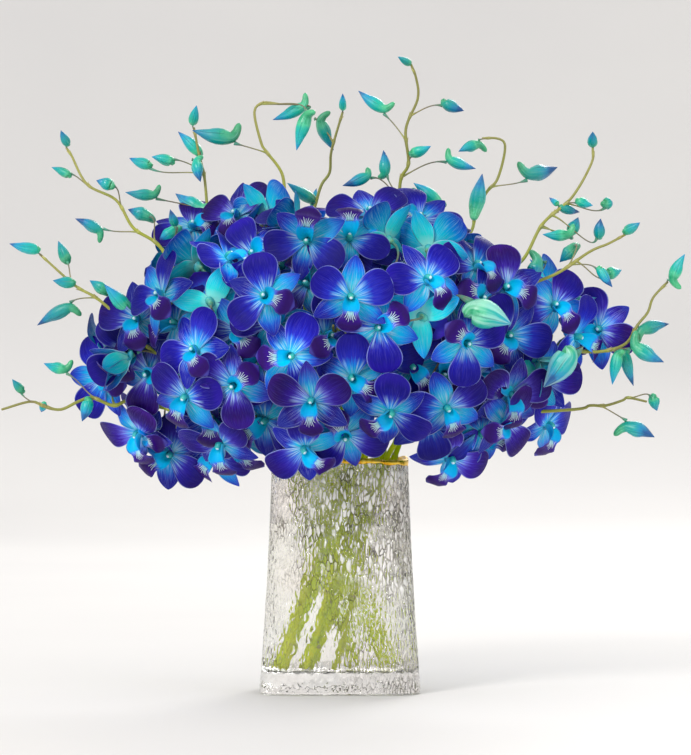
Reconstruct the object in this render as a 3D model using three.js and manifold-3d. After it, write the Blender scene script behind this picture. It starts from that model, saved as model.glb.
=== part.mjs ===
// A bouquet of blue dendrobium orchids in a hammered glass vase with a gilt rim.
// Millimetres, +Z up, +X to the right and +Y away from the viewer. The origin is the centre of the vase's foot.
//
// Each spray is one solid: a stem that stands on the vase's floor, its flower stalks, and its buds, which swell
// out of their own stalks. Each open flower is a star of two petals, three sepals and a lip, drawn as one thin
// body. Flowers whose petals cross are joined, and what would still cross a neighbour is trimmed clear of it.

import * as THREE from "three";
import { mergeVertices } from "three/addons/utils/BufferGeometryUtils.js";
import Module from "manifold-3d";

const wasm = await Module();
wasm.setup();

// Driving dimensions of the vase.
const VASE_HEIGHT = 175;
const FOOT = { halfWidth: 61, halfDepth: 38 };
const RIM = { halfWidth: 51.5, halfDepth: 33 };
const CORNER_POWER = { foot: 6, rim: 4.2 }; // how square the vase's section is: 2 is an ellipse
const WAIST = 1.2; // how far its sides are drawn in halfway up
const WAIST_HEIGHT = 92;
const GLASS_WALL = 3.6;
const FLOOR_THICKNESS = 16;
const RIM_WAVE = 1.3; // how far the rim rises and dips
const GILT_HEIGHT = 2;
const GILT_OVERHANG = 0.5;
const WATER_LEVEL = 128;
const VASE_SIDES = 28;

// Driving dimensions of the flowers and stems.
const STEM_RADIUS = { foot: 2.4, mouth: 2.1, tip: 0.9 };
const STEM_SIDES = 4;
const STALK_RADIUS = 0.85;
const STALK_SIDES = 3;
const BUD_SIDES = 4;
const OVARY_LENGTH = 7; // from a flower's face to the end of its stalk
const PETAL_THICKNESS = 1.2;
const VALLEY_RADIUS = 5; // where neighbouring petals part
const COLUMN_HEIGHT = 4.5;
const GAP = 0.35; // between pieces that would touch
const SLIVER = 0.01; // edges shorter than this are closed up

// The eye that the places below are seen from, and the body of flowers that they lie on.
const EYE = { distance: 3000, height: 260 };
const MASS = { halfWidth: 172, frontDepth: 122, backDepth: 88, halfHeight: 106, height: 268 };

// One row for each spray. foot and mouth are where it stands on the vase's floor and leaves its mouth, [x, y]:
// the stems stand in six layers, and those that lean right cross in front of those that lean left. route is
// where the stem runs from there, [across, depth, up]. buds are [base across, base up, tip across, tip up, width]: a negative width
// puts the bud's heel on its other side.
const SPRAYS = [
  {
    name: "spray_right_low_outer",
    foot: [-22, -13],
    mouth: [40, -13],
    route: [[68, 20, 236], [122, 10, 250], [167, 0, 258], [198, 0, 258], [217, 0, 264], [226, 0, 278],
      [234, 0, 288], [238, 0, 299], [249, 0, 311]],
    buds: [[249, 312, 262, 332, -13], [226, 277, 250, 279, -14], [220, 260, 246, 250, 16], [214, 258, 223, 232, 11],
      [210, 258, 207, 233, 11], [169, 293, 195, 299, -12], [152, 290, 131, 293, 10], [160, 265, 128, 259, 24]],
  },
  {
    name: "spray_right_high",
    foot: [-46, -13],
    mouth: [14, -13],
    route: [[61, 20, 252], [97, 20, 288], [117, 15, 312], [139, 15, 328], [154, 20, 355], [176, 25, 375],
      [191, 25, 401], [192, 25, 413]],
    buds: [[192, 413, 192, 425, 8], [167, 366, 182, 364, 8], [176, 344, 154, 347, 12], [176, 346, 181, 360, 10],
      [179, 371, 192, 369, 8], [166, 369, 159, 375, 5], [195, 344, 198, 359, 9], [201, 367, 207, 372, 10]],
  },
  {
    name: "spray_hook_right",
    foot: [-42, -7],
    mouth: [18, -7],
    route: [[46, 40, 244], [70, 60, 290], [88, 75, 333], [100, 80, 350], [103, 85, 364], [112, 88, 380],
      [119, 88, 388], [124, 88, 404], [125, 86, 416], [119, 84, 420], [108, 80, 420]],
    buds: [[106, 419, 90, 410, -12], [141, 388, 165, 398, 17], [102, 363, 108, 393, -17]],
  },
  {
    name: "spray_back_right",
    foot: [-25, -7],
    mouth: [31, -7],
    route: [[46, 40, 229], [91, 75, 262], [114, 105, 290], [125, 120, 318]],
    buds: [[125, 319, 130, 339, 9], [114, 296, 132, 303, -12], [108, 288, 90, 302, 14]],
  },
  {
    name: "spray_top",
    foot: [-48, -7],
    mouth: [6, -7],
    route: [[27, 20, 259], [36, 25, 305], [40, 30, 329], [44, 30, 357], [46, 32, 388], [52, 30, 401],
      [50, 30, 427], [59, 30, 450], [58, 28, 465], [54, 26, 476]],
    buds: [[54, 476, 44, 482, 6], [34, 438, 14, 456, 13], [77, 445, 94, 441, 10], [36, 391, 33, 411, -11],
      [54, 406, 69, 414, 9], [80, 402, 103, 397, 12], [79, 371, 56, 386, -15], [49, 376, 55, 363, 12],
      [24, 390, 2, 384, 11]],
  },
  {
    name: "spray_back_middle",
    foot: [36, 19],
    mouth: [-3, 19],
    route: [[4, 45, 236], [2, 85, 280], [-2, 112, 322], [-3, 128, 350]],
    buds: [[-3, 351, -6, 372, 9], [-12, 334, -28, 342, 12], [8, 322, 26, 330, -14]],
  },
  {
    name: "spray_top_back",
    foot: [14, 19],
    mouth: [-14, 19],
    route: [[-11, 50, 244], [-20, 70, 305], [-21, 80, 356], [-18, 80, 372], [-14, 80, 385], [-8, 80, 394],
      [-7, 78, 408], [-4, 76, 420], [2, 74, 440]],
    buds: [[2, 441, 2, 454, 6], [-19, 435, -5, 411, 14], [-19, 371, -40, 386, 13], [-21, 369, -18, 382, 6]],
  },
  {
    name: "spray_back_left",
    foot: [8, 19],
    mouth: [-32, 19],
    route: [[-38, 40, 229], [-80, 75, 266], [-99, 102, 298], [-109, 118, 322]],
    buds: [[-109, 323, -118, 342, 9], [-98, 306, -114, 300, 12], [-92, 294, -78, 311, -14]],
  },
  {
    name: "spray_hook_left",
    foot: [38, 13],
    mouth: [-10, 13],
    route: [[-23, 0, 252], [-27, 0, 305], [-34, 5, 346], [-41, 8, 369], [-44, 10, 393], [-56, 10, 410],
      [-60, 10, 417], [-65, 10, 440], [-58, 10, 447], [-46, 10, 446]],
    buds: [[-79, 416, -112, 426, 17], [-24, 443, -51, 434, 13], [-26, 440, -33, 411, 14]],
  },
  {
    name: "spray_left_high",
    foot: [31, 13],
    mouth: [-24, 13],
    route: [[-46, 10, 244], [-74, 25, 290], [-90, 30, 328], [-95, 35, 346], [-100, 38, 361], [-103, 42, 390],
      [-107, 44, 407], [-111, 46, 428]],
    buds: [[-112, 430, -109, 445, 8], [-106, 409, -123, 425, 11], [-126, 404, -143, 406, -9],
      [-144, 397, -160, 405, 9], [-112, 404, -106, 387, 11], [-104, 361, -125, 378, 17], [-139, 374, -163, 379, 12]],
  },
  {
    name: "spray_left_middle",
    foot: [12, 13],
    mouth: [-38, 13],
    route: [[-57, -5, 244], [-87, -5, 280], [-118, 0, 308], [-137, 0, 338], [-157, 0, 352], [-170, 0, 373],
      [-192, 0, 385], [-204, 0, 407], [-208, 0, 413]],
    buds: [[-208, 414, -212, 426, 7], [-204, 393, -219, 398, -7], [-172, 384, -185, 388, -10],
      [-144, 361, -161, 366, 14], [-179, 351, -201, 359, -12], [-125, 352, -138, 341, 13], [-125, 353, -129, 366, 7]],
  },
  {
    name: "spray_left_low",
    foot: [34, 7],
    mouth: [-26, 7],
    route: [[-65, -15, 225], [-106, -20, 238], [-147, -25, 262], [-167, -28, 283], [-184, -30, 298],
      [-198, -30, 306], [-207, -30, 313], [-228, -30, 332]],
    buds: [[-229, 333, -251, 340, 9], [-207, 326, -214, 342, 9], [-202, 308, -218, 312, 9], [-204, 296, -230, 278, -14],
      [-160, 288, -179, 309, 15], [-176, 303, -190, 312, 11]],
  },
  {
    name: "spray_left_lowest",
    foot: [9, 7],
    mouth: [-40, 7],
    route: [[-57, -18, 202], [-103, -22, 207], [-154, -10, 221], [-172, -10, 217], [-188, -10, 223],
      [-199, -12, 220], [-212, -12, 214], [-224, -12, 216], [-235, -12, 220], [-257, -12, 214]],
    buds: [[-242, 226, -249, 237, 7], [-207, 241, -225, 249, 12], [-189, 221, -196, 205, 10], [-225, 218, -227, 212, 6]],
  },
  {
    name: "spray_front_left",
    foot: [41, 7],
    mouth: [-12, 7],
    route: [[-28, -40, 206], [-52, -60, 211], [-72, -58, 207], [-88, -44, 199]],
    buds: [],
  },
  {
    name: "spray_front_middle",
    foot: [-41, -19],
    mouth: [0, -19],
    route: [[-4, -35, 233], [-4, -70, 259], [-5, -90, 278]],
    buds: [],
  },
  {
    name: "spray_front_right",
    foot: [-25, -19],
    mouth: [16, -19],
    route: [[36, -42, 206], [56, -60, 211], [71, -58, 206], [81, -40, 194]],
    buds: [],
  },
  {
    name: "spray_right_lowest",
    foot: [-4, -19],
    mouth: [34, -19],
    route: [[61, -18, 206], [110, -20, 210], [178, -2, 214], [190, -2, 217], [202, -2, 217], [215, -2, 221],
      [219, 0, 223], [233, 0, 220]],
    buds: [[217, 206, 239, 193, -16], [236, 224, 241, 213, 9]],
  },
  {
    name: "spray_right_middle",
    foot: [-29, -13],
    mouth: [27, -13],
    route: [[46, -10, 252], [87, -20, 280], [120, -25, 299], [144, -25, 309], [166, -25, 318], [190, -25, 334],
      [204, -25, 340], [217, -25, 347]],
    buds: [[217, 347, 228, 356, 8], [202, 314, 214, 320, 10], [195, 321, 207, 307, 8], [179, 339, 167, 326, 14],
      [156, 326, 145, 314, 17]],
  },
];

// The flowers that face the viewer: [across, up, roll, layers back from the surface, extra turn, extra tilt].
const FRONT_FLOWERS = [
  [-117, 223, -24, 0, 0, 0], [-109, 259, 40, 1, 0, 0], [-80, 233, 124, 1, 0, 0], [-90, 188, 10, 0, 0, -18],
  [-145, 201, 60, 1, -20, -10], [-38, 255, -90, 1, 0, 0], [-56, 300, 70, 0, 0, 0], [-49, 280, 150, 2, 0, 0],
  [-21, 220, 5, 0, 0, 0], [-26, 185, 55, 0, 0, -12], [10, 238, 60, 1, 0, 0], [30, 277, 125, 1, 0, 0],
  [38, 212, -62, 0, -12, 0], [81, 215, 20, 1, 0, 0], [95, 265, -124, 0, 0, 0], [83, 177, -30, 0, 10, -20],
  [8, 299, -5, 0, 0, -12], [7, 344, 180, 1, 0, 10], [66, 312, 25, 0.5, 0, 0], [68, 337, -20, 2, 150, 0],
  [36, 344, 20, 2, -150, 0], [-24, 343, 170, 0, -10, -20], [-78, 361, 20, 2, -20, 0], [-55, 361, -20, 3, 150, 0],
  [-109, 324, 0, 1, -100, 10], [-135, 301, 45, 0, 0, 0], [-85, 328, 10, 1, 90, 30], [-98, 295, 150, 2, -150, 0],
  [103, 322, 10, 2, 20, 0], [128, 225, 0, 1, 0, 0], [125, 205, -77, 0, 0, -10], [157, 202, -18, 1, 0, 0],
  [179, 269, 60, 0, 0, 0], [142, 238, 10, 2, 170, 0], [61, 285, -60, 2, 170, 0], [108, 197, 90, 2, 0, -10],
  [-11, 270, -60, 2, 60, 0], [-76, 274, 40, 2, 0, 0], [-175, 258, 30, 1, -60, -20], [4, 195, -160, 1, 0, -10],
  [-65, 331, 100, 2, 0, 10], [106, 297, -100, 2, 0, 10],
];
const LAYER_DEPTH = 11;
const TURN_AT_EDGE = 50;
const TILT_AT_EDGE = 40;

// The flowers on the far side follow a golden-angle spiral over the back of the same body.
const BACK_FLOWER_COUNT = 22;
const BACK_HEIGHTS = { low: -0.66, high: 0.93 };
const GOLDEN_TURN = 0.618034;
const BACK_EDGE = 10; // degrees of the far half left free at each side

// The lobes of the star that every flower is, clockwise from the upper sepal. at is a lobe's angle, reach its
// length, and widest how far out it is widest, with its half width, the height of its middle there and how much
// higher its edges are. tip is the height of its end.
const PETAL = { reach: 33.5, widest: { out: 24.5, half: 12.8, height: 2.4, edge: 0.8 }, tip: 0 };
const SEPAL = { reach: 31, widest: { out: 16, half: 8.6, height: -1, edge: 1 }, tip: -4 };
const LIP = { reach: 22, widest: { out: 13, half: 8, height: 7.5, edge: 1.5 }, tip: 4 };
const LOBES = [
  { at: 0, ...SEPAL },
  { at: 62, ...PETAL },
  { at: 124, ...SEPAL },
  { at: 180, ...LIP },
  { at: 236, ...SEPAL },
  { at: 298, ...PETAL },
];
const CUP = { low: -2, span: 8 }; // how far a flower's petals come forward at their tips
const CLUSTER_LIMIT = 4; // most flowers in one joined body
const FLOWER_BODIES = 39;

const COLOURS = {
  glass: { color: 0xdfe9e6, roughness: 0.05, metalness: 0 },
  gilt: { color: 0xc9973a, roughness: 0.25, metalness: 1 },
  water: { color: 0xcfe3e4, roughness: 0.02, metalness: 0 },
  stem: { color: 0x4f9a6e, roughness: 0.5, metalness: 0 },
  flower: { color: 0x2a2fb0, roughness: 0.55, metalness: 0 },
};

const radians = (degrees) => (degrees * Math.PI) / 180;
const mix = (a, b, t) => a + (b - a) * t;
const vec = (x, y, z) => new THREE.Vector3(x, y, z);

// A point that the eye sees at (across, up) on the plane through the vase's centre, moved back along the line
// of sight to a depth.
function seen(across, up, depth) {
  const share = depth / EYE.distance;
  return vec(across * (1 + share), depth, up + (up - EYE.height) * share);
}

// A closed surface over rings of equally many points, each ring running the same way round. A ring of one
// point is a tip. An open end is closed flat, and closed joins the last ring to the first.
function loft(rings, closed = false) {
  const points = rings.flat();
  const faces = [];
  const starts = [];
  let start = 0;
  for (const ring of rings) {
    starts.push(start);
    start += ring.length;
  }
  const last = closed ? rings.length : rings.length - 1;
  for (let i = 0; i < last; i++) {
    const j = (i + 1) % rings.length;
    const sides = Math.max(rings[i].length, rings[j].length);
    for (let k = 0; k < sides; k++) {
      const next = (k + 1) % sides;
      const a = starts[i] + (rings[i].length > 1 ? k : 0);
      const b = starts[i] + (rings[i].length > 1 ? next : 0);
      const c = starts[j] + (rings[j].length > 1 ? k : 0);
      const d = starts[j] + (rings[j].length > 1 ? next : 0);
      if (a !== b) faces.push(a, b, c);
      if (c !== d) faces.push(b, d, c);
    }
  }
  if (!closed) {
    for (const [ring, flip, at] of [[rings[0], true, starts[0]], [rings.at(-1), false, starts.at(-1)]]) {
      for (let k = 1; k + 1 < ring.length; k++) {
        if (flip) faces.push(at, at + k + 1, at + k);
        else faces.push(at, at + k, at + k + 1);
      }
    }
  }
  return surface(points, faces);
}

function surface(points, faces) {
  const geometry = new THREE.BufferGeometry().setFromPoints(points);
  geometry.setIndex(faces);
  return geometry;
}

// A geometry as a solid that can be joined and cut.
function solid(geometry) {
  const merged = mergeVertices(geometry, 1e-4);
  return new wasm.Manifold(
    new wasm.Mesh({
      numProp: 3,
      vertProperties: new Float32Array(merged.attributes.position.array),
      triVerts: new Uint32Array(merged.index.array),
    }),
  );
}

const join = (solids) => solids.reduce((whole, next) => whole.add(next));
const largest = (body) => body.decompose().sort((a, b) => b.volume() - a.volume())[0];

function boxesMeet(a, b) {
  const p = a.boundingBox();
  const q = b.boundingBox();
  return [0, 1, 2].every((k) => p.min[k] < q.max[k] && q.min[k] < p.max[k]);
}

const overlap = (a, b) => (boxesMeet(a, b) ? a.intersect(b).volume() : 0);

function meshOf(name, body, look) {
  const made = body.simplify(SLIVER).getMesh();
  const geometry = new THREE.BufferGeometry();
  geometry.setAttribute("position", new THREE.BufferAttribute(made.vertProperties, 3));
  geometry.setIndex(new THREE.BufferAttribute(made.triVerts, 1));
  geometry.computeVertexNormals();
  const mesh = new THREE.Mesh(geometry, new THREE.MeshStandardMaterial(look));
  mesh.name = name;
  return mesh;
}

// Two directions square to each point's travel along a path, carried along without twist.
function carried(path) {
  let side = null;
  return path.map((point, i) => {
    const ahead = path[Math.min(i + 1, path.length - 1)];
    const behind = path[Math.max(i - 1, 0)];
    const along = ahead.clone().sub(behind).normalize();
    const start = Math.abs(along.z) < 0.9 ? vec(0, 0, 1) : vec(0, 1, 0);
    side = (side ?? start).clone().addScaledVector(along, -(side ?? start).dot(along)).normalize();
    return { point, along, side, other: along.clone().cross(side) };
  });
}

// A rod of changing radius along a path. bulge may move a ring's point: it gets the station's number and the
// angle round the ring, and returns [share of the radius, distance along].
function rod(path, radii, sides, bulge = () => [1, 0]) {
  const rings = carried(path).map(({ point, along, side, other }, i) => {
    if (radii[i] === 0) return [point.clone()];
    return Array.from({ length: sides }, (_, k) => {
      const angle = (2 * Math.PI * k) / sides;
      const [share, shift] = bulge(i, angle);
      return point
        .clone()
        .addScaledVector(side, radii[i] * share * Math.cos(angle))
        .addScaledVector(other, radii[i] * share * Math.sin(angle))
        .addScaledVector(along, shift);
    });
  });
  return solid(loft(rings));
}

// The vase's section at a height, moved in from the outside by inset: a rounded rectangle.
function vaseSection(height, inset, rise = 0) {
  const t = height / VASE_HEIGHT;
  const drawn = inset + WAIST * Math.sin(Math.PI * t);
  const x = mix(FOOT.halfWidth, RIM.halfWidth, t) - drawn;
  const y = mix(FOOT.halfDepth, RIM.halfDepth, t) - drawn;
  const power = 2 / mix(CORNER_POWER.foot, CORNER_POWER.rim, t);
  return Array.from({ length: VASE_SIDES }, (_, k) => {
    const angle = (2 * Math.PI * (k + 0.5)) / VASE_SIDES;
    const round = (value) => Math.sign(value) * Math.abs(value) ** power;
    return vec(x * round(Math.cos(angle)), y * round(Math.sin(angle)), height + rise * rimWave(angle));
  });
}

const rimWave = (angle) => RIM_WAVE * (0.7 * Math.sin(3 * angle + 0.6) + 0.3 * Math.sin(7 * angle));

function vaseSolid() {
  return solid(
    loft([
      vaseSection(0, 0),
      vaseSection(WAIST_HEIGHT, 0),
      vaseSection(VASE_HEIGHT, 0, 1),
      vaseSection(VASE_HEIGHT, GLASS_WALL, 1),
      vaseSection(WAIST_HEIGHT, GLASS_WALL),
      vaseSection(FLOOR_THICKNESS + 5, GLASS_WALL),
      vaseSection(FLOOR_THICKNESS, GLASS_WALL + 4),
    ]),
  );
}

function giltSolid() {
  const low = VASE_HEIGHT + GAP;
  const high = low + GILT_HEIGHT;
  const band = [[low, -GILT_OVERHANG], [low, GLASS_WALL + GILT_OVERHANG], [high, GLASS_WALL], [high, 0]];
  const columns = band.map(([height, inset]) =>
    vaseSection(VASE_HEIGHT, inset, 1).map((point) => point.setZ(point.z + height - VASE_HEIGHT)));
  const rings = columns[0].map((_, k) => columns.map((column) => column[k]));
  return solid(loft(rings, true));
}

function waterSolid(stems) {
  const body = solid(
    loft([
      vaseSection(FLOOR_THICKNESS + GAP, GLASS_WALL + 4 + GAP),
      vaseSection(FLOOR_THICKNESS + 5 + GAP, GLASS_WALL + GAP),
      vaseSection(WAIST_HEIGHT, GLASS_WALL + GAP),
      vaseSection(WATER_LEVEL, GLASS_WALL + GAP),
    ]),
  );
  return largest(stems.reduce((water, stem) => (boxesMeet(water, stem) ? water.subtract(stem) : water), body));
}

// Where a spray's stem runs: straight from the vase's floor to its mouth, then a smooth curve through its route.
function stemPath({ foot: [footX, footY], mouth: [mouthX, mouthY], route }) {
  const foot = vec(footX, footY, FLOOR_THICKNESS + GAP);
  const lip = vec(mouthX, mouthY, VASE_HEIGHT);
  foot.z += (STEM_RADIUS.foot * Math.hypot(lip.x - foot.x, lip.y - foot.y)) / lip.distanceTo(foot);
  const below = lip.clone().lerp(foot, 0.3);
  const knots = [below, lip, ...route.map(([across, depth, up]) => seen(across, up, depth))];
  const curve = new THREE.CatmullRomCurve3(knots, false, "catmullrom", 0.5);
  const spans = knots.length - 1;
  const path = [foot, lip];
  for (let i = 1; i < spans; i++) {
    if (knots[i].distanceTo(knots[i + 1]) > 40) path.push(curve.getPoint((i + 0.5) / spans));
    path.push(curve.getPoint((i + 1) / spans));
  }
  return path;
}

// A path's points with the length run up to each.
function measured(path) {
  const lengths = [0];
  for (let i = 1; i < path.length; i++) lengths.push(lengths[i - 1] + path[i].distanceTo(path[i - 1]));
  return lengths;
}

function pointAt(path, lengths, length) {
  const wanted = Math.min(Math.max(length, 0), lengths.at(-1));
  const i = Math.max(1, lengths.findIndex((value) => value >= wanted));
  return path[i - 1].clone().lerp(path[i], (wanted - lengths[i - 1]) / (lengths[i] - lengths[i - 1]));
}

// The length along a path at which it passes nearest to a place.
function nearestLength(path, lengths, place) {
  let best = { gap: Infinity, length: 0 };
  for (let i = 1; i < path.length; i++) {
    const line = new THREE.Line3(path[i - 1], path[i]);
    const t = line.closestPointToPointParameter(place, true);
    const gap = line.at(t, vec(0, 0, 0)).distanceTo(place);
    if (gap < best.gap) best = { gap, length: mix(lengths[i - 1], lengths[i], t) };
  }
  return best;
}

function stemRadii(path, lengths) {
  const mouthLength = lengths[1];
  return lengths.map((length) =>
    length <= mouthLength
      ? mix(STEM_RADIUS.foot, STEM_RADIUS.mouth, length / mouthLength)
      : mix(STEM_RADIUS.mouth, STEM_RADIUS.tip, (length - mouthLength) / (lengths.at(-1) - mouthLength)));
}

const STALK_LAG = 14; // how far down the stem a stalk starts from the stem's nearest point
const STALK_ELBOW = 12; // how far behind its flower a stalk turns to meet it square
const SESSILE_REACH = 5; // a bud nearer to its stem than this has no stalk

// A bud on its stalk: one rod that swells from the stalk into a spindle with a heel at its base.
const BUD_SWELL = [[0, 0.36], [0.18, 0.85], [0.5, 1], [1, 0]]; // share of the length, share of the width
function budSolid(stem, bud, number, extra) {
  const [baseX, baseZ, tipX, tipZ, signedWidth] = bud;
  const width = Math.abs(signedWidth) / 2;
  const swing = number % 2 ? 1 : -1;
  const first = nearestLength(stem.path, stem.lengths, seen(baseX, baseZ, stem.path.at(-1).y));
  const level = pointAt(stem.path, stem.lengths, first.length).y;
  const near = nearestLength(stem.path, stem.lengths, seen(baseX, baseZ, level));
  const sessile = near.gap < SESSILE_REACH;
  const lag = sessile ? SESSILE_REACH : STALK_LAG;
  const root = pointAt(stem.path, stem.lengths, Math.max(near.length - lag, stem.lengths[1] + 5));
  const base = seen(baseX, baseZ, level + swing * Math.min(5, near.gap));
  const tip = seen(tipX, tipZ, level + swing * 9);
  const axis = tip.clone().sub(base);
  const long = axis.length();
  axis.normalize();
  const path = [root, ...BUD_SWELL.map(([t]) => base.clone().addScaledVector(axis, t * long))];
  const swollen = BUD_SWELL.map(([t, share]) => (t === 1 ? 0 : share * width + extra));
  const heelAngle = signedWidth > 0 ? 0 : Math.PI;
  const heel = (i, angle) => {
    const share = i === 2 ? Math.max(0, Math.cos(angle - heelAngle)) : 0;
    return [1 + 0.9 * share, -0.5 * width * share];
  };
  return rod(path, [STALK_RADIUS + extra, ...swollen], BUD_SIDES, heel);
}

// A flower's place, the way that it faces, and the direction of its upper sepal.
function frontFlower([across, up, roll, layers, turn, tilt], number) {
  const aside = across / MASS.halfWidth;
  const aloft = (up - MASS.height) / MASS.halfHeight;
  const depth = -MASS.frontDepth * Math.sqrt(Math.max(0, 1 - aside ** 2 - aloft ** 2)) + layers * LAYER_DEPTH;
  const yaw = radians(TURN_AT_EDGE * aside + turn);
  const pitch = radians(TILT_AT_EDGE * aloft + tilt);
  return flowerFrame(seen(across, up, depth), yaw, pitch, radians(roll), number);
}

function backFlower(number) {
  const aloft = mix(BACK_HEIGHTS.low, BACK_HEIGHTS.high, (number + 0.5) / BACK_FLOWER_COUNT);
  const round = (number * GOLDEN_TURN) % 1;
  const around = radians(mix(BACK_EDGE, 180 - BACK_EDGE, round));
  const level = Math.sqrt(1 - aloft ** 2);
  const layers = number % 3 === 0 ? 1 : 0;
  const shrink = 1 - (layers * LAYER_DEPTH) / MASS.backDepth;
  const place = vec(
    MASS.halfWidth * level * Math.cos(around) * shrink,
    MASS.backDepth * level * Math.sin(around) * shrink,
    MASS.height + MASS.halfHeight * aloft * shrink,
  );
  const yaw = Math.PI / 2 + around;
  return flowerFrame(place, yaw, radians(TILT_AT_EDGE * aloft), radians(137 * number), number + 40);
}

function flowerFrame(centre, yaw, pitch, roll, number) {
  const facing = vec(Math.sin(yaw) * Math.cos(pitch), -Math.cos(yaw) * Math.cos(pitch), Math.sin(pitch));
  const level = vec(0, 0, 1).addScaledVector(facing, -facing.z).normalize();
  const right = level.clone().cross(facing);
  const upper = level.clone().multiplyScalar(Math.cos(roll)).addScaledVector(right, -Math.sin(roll));
  const cup = CUP.low + CUP.span * ((number * GOLDEN_TURN) % 1);
  return { centre, facing, upper, right: upper.clone().cross(facing), cup };
}

// The star of petals as one closed thin body.
function flowerSolid({ centre, facing, upper, right, cup }) {
  const place = (radius, angle, height, aside = 0) => {
    const along = upper.clone().multiplyScalar(Math.cos(angle)).addScaledVector(right, Math.sin(angle));
    const across = right.clone().multiplyScalar(Math.cos(angle)).addScaledVector(upper, -Math.sin(angle));
    return centre.clone().addScaledVector(along, radius).addScaledVector(across, aside).addScaledVector(facing, height);
  };
  const points = [place(0, 0, COLUMN_HEIGHT), place(0, 0, -OVARY_LENGTH)];
  const [column, ovary] = [0, 1];
  const faces = [];
  const add = (point) => points.push(point) - 1;
  const valleys = LOBES.map(({ at }, i) => {
    const next = i + 1 < LOBES.length ? LOBES[i + 1].at : 360;
    return add(place(VALLEY_RADIUS, radians((at + next) / 2), 0));
  });
  LOBES.forEach(({ at, reach, widest, tip }, i) => {
    const angle = radians(at);
    const lift = widest.height + (cup * widest.out) / reach;
    const inLeft = valleys[(i + LOBES.length - 1) % LOBES.length];
    const inRight = valleys[i];
    const left = add(place(widest.out, angle, lift + widest.edge, -widest.half));
    const right = add(place(widest.out, angle, lift + widest.edge, widest.half));
    const top = add(place(widest.out, angle, lift + PETAL_THICKNESS / 2));
    const under = add(place(widest.out, angle, lift - PETAL_THICKNESS / 2));
    const end = add(place(reach, angle, tip + cup));
    faces.push(inLeft, column, left, column, top, left, left, top, end);
    faces.push(column, inRight, top, inRight, right, top, top, right, end);
    faces.push(ovary, inLeft, left, under, ovary, left, under, left, end);
    faces.push(inRight, ovary, right, ovary, under, right, right, under, end);
  });
  return solid(surface(points, faces));
}

// Where a flower's stalk ends: just behind the flower.
const stalkEnd = ({ centre, facing }) => centre.clone().addScaledVector(facing, -OVARY_LENGTH - GAP);

function flowerStalk(stem, near, flower, extra) {
  const root = pointAt(stem.path, stem.lengths, Math.max(near.length - STALK_LAG, stem.lengths[1] + 5));
  const end = stalkEnd(flower);
  const elbow = end.clone().addScaledVector(flower.facing, -STALK_ELBOW);
  return rod([root, elbow, end], [STALK_RADIUS + extra, STALK_RADIUS + extra, 1.3 + extra], STALK_SIDES);
}

// The sprays, each as its solid and as a swollen one that trims what would cross it.
function sprays(flowers) {
  const stems = SPRAYS.map((spray) => {
    const path = stemPath(spray);
    return { ...spray, path, lengths: measured(path), stalked: [] };
  });
  for (const flower of flowers) {
    const end = stalkEnd(flower);
    const reaches = stems.map((stem) => ({ stem, near: nearestLength(stem.path, stem.lengths, end) }));
    reaches.sort((a, b) => a.near.gap - b.near.gap);
    reaches[0].stem.stalked.push({ flower, near: reaches[0].near });
  }
  const build = (stem, extra) =>
    join([
      rod(stem.path, stemRadii(stem.path, stem.lengths).map((r) => r + extra), STEM_SIDES),
      ...stem.buds.map((bud, i) => budSolid(stem, bud, i, extra)),
      ...stem.stalked.map(({ flower, near }) => flowerStalk(stem, near, flower, extra)),
    ]);
  return stems.map((stem) => ({ name: stem.name, body: build(stem, 0), swollen: build(stem, GAP) }));
}

// Flowers whose petals cross are joined, the deepest crossings first, until few enough bodies are left.
function joinedFlowers(flowers) {
  const bodies = flowers.map((flower) => ({ body: flowerSolid(flower), count: 1 }));
  const crossings = [];
  bodies.forEach((a, i) => bodies.slice(i + 1).forEach((b, k) => {
    const volume = overlap(a.body, b.body);
    if (volume > 0) crossings.push({ i, j: i + 1 + k, volume });
  }));
  crossings.sort((a, b) => b.volume - a.volume);
  const group = bodies.map((_, i) => i);
  let left = bodies.length;
  for (const { i, j } of crossings) {
    const [a, b] = [group[i], group[j]];
    if (a === b || left <= FLOWER_BODIES || bodies[a].count + bodies[b].count > CLUSTER_LIMIT) continue;
    bodies[a] = { body: bodies[a].body.add(bodies[b].body), count: bodies[a].count + bodies[b].count };
    group.forEach((g, k) => {
      if (g === b) group[k] = a;
    });
    left -= 1;
  }
  return bodies.filter((_, i) => group[i] === i).map(({ body }) => body);
}

// Each body less what the stems and the bodies before it need, with a gap left round them.
const margin = wasm.Manifold.sphere(GAP, 4).rotate([11, 23, 37]);
function trimmed(bodies, stems) {
  const done = [];
  for (const body of bodies) {
    const less = (rest, cutter) => (boxesMeet(rest, cutter) ? rest.subtract(cutter) : rest);
    let rest = stems.reduce(less, body);
    for (const other of done) {
      if (overlap(rest, other) > 0) rest = rest.subtract(other.minkowskiSum(margin));
    }
    done.push(largest(rest));
  }
  return done;
}

const flowers = [
  ...FRONT_FLOWERS.map(frontFlower),
  ...Array.from({ length: BACK_FLOWER_COUNT }, (_, i) => backFlower(i)),
];
const stems = sprays(flowers);
const bouquet = new THREE.Group();
bouquet.add(meshOf("vase", vaseSolid(), COLOURS.glass));
bouquet.add(meshOf("gilt_rim", giltSolid(), COLOURS.gilt));
bouquet.add(meshOf("water", waterSolid(stems.map(({ swollen }) => swollen)), COLOURS.water));
for (const { name, body } of stems) bouquet.add(meshOf(name, body, COLOURS.stem));
trimmed(joinedFlowers(flowers), stems.map(({ swollen }) => swollen)).forEach((body, i) => {
  bouquet.add(meshOf(`flowers_${String(i + 1).padStart(2, "0")}`, body, COLOURS.flower));
});

export default bouquet;
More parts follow.
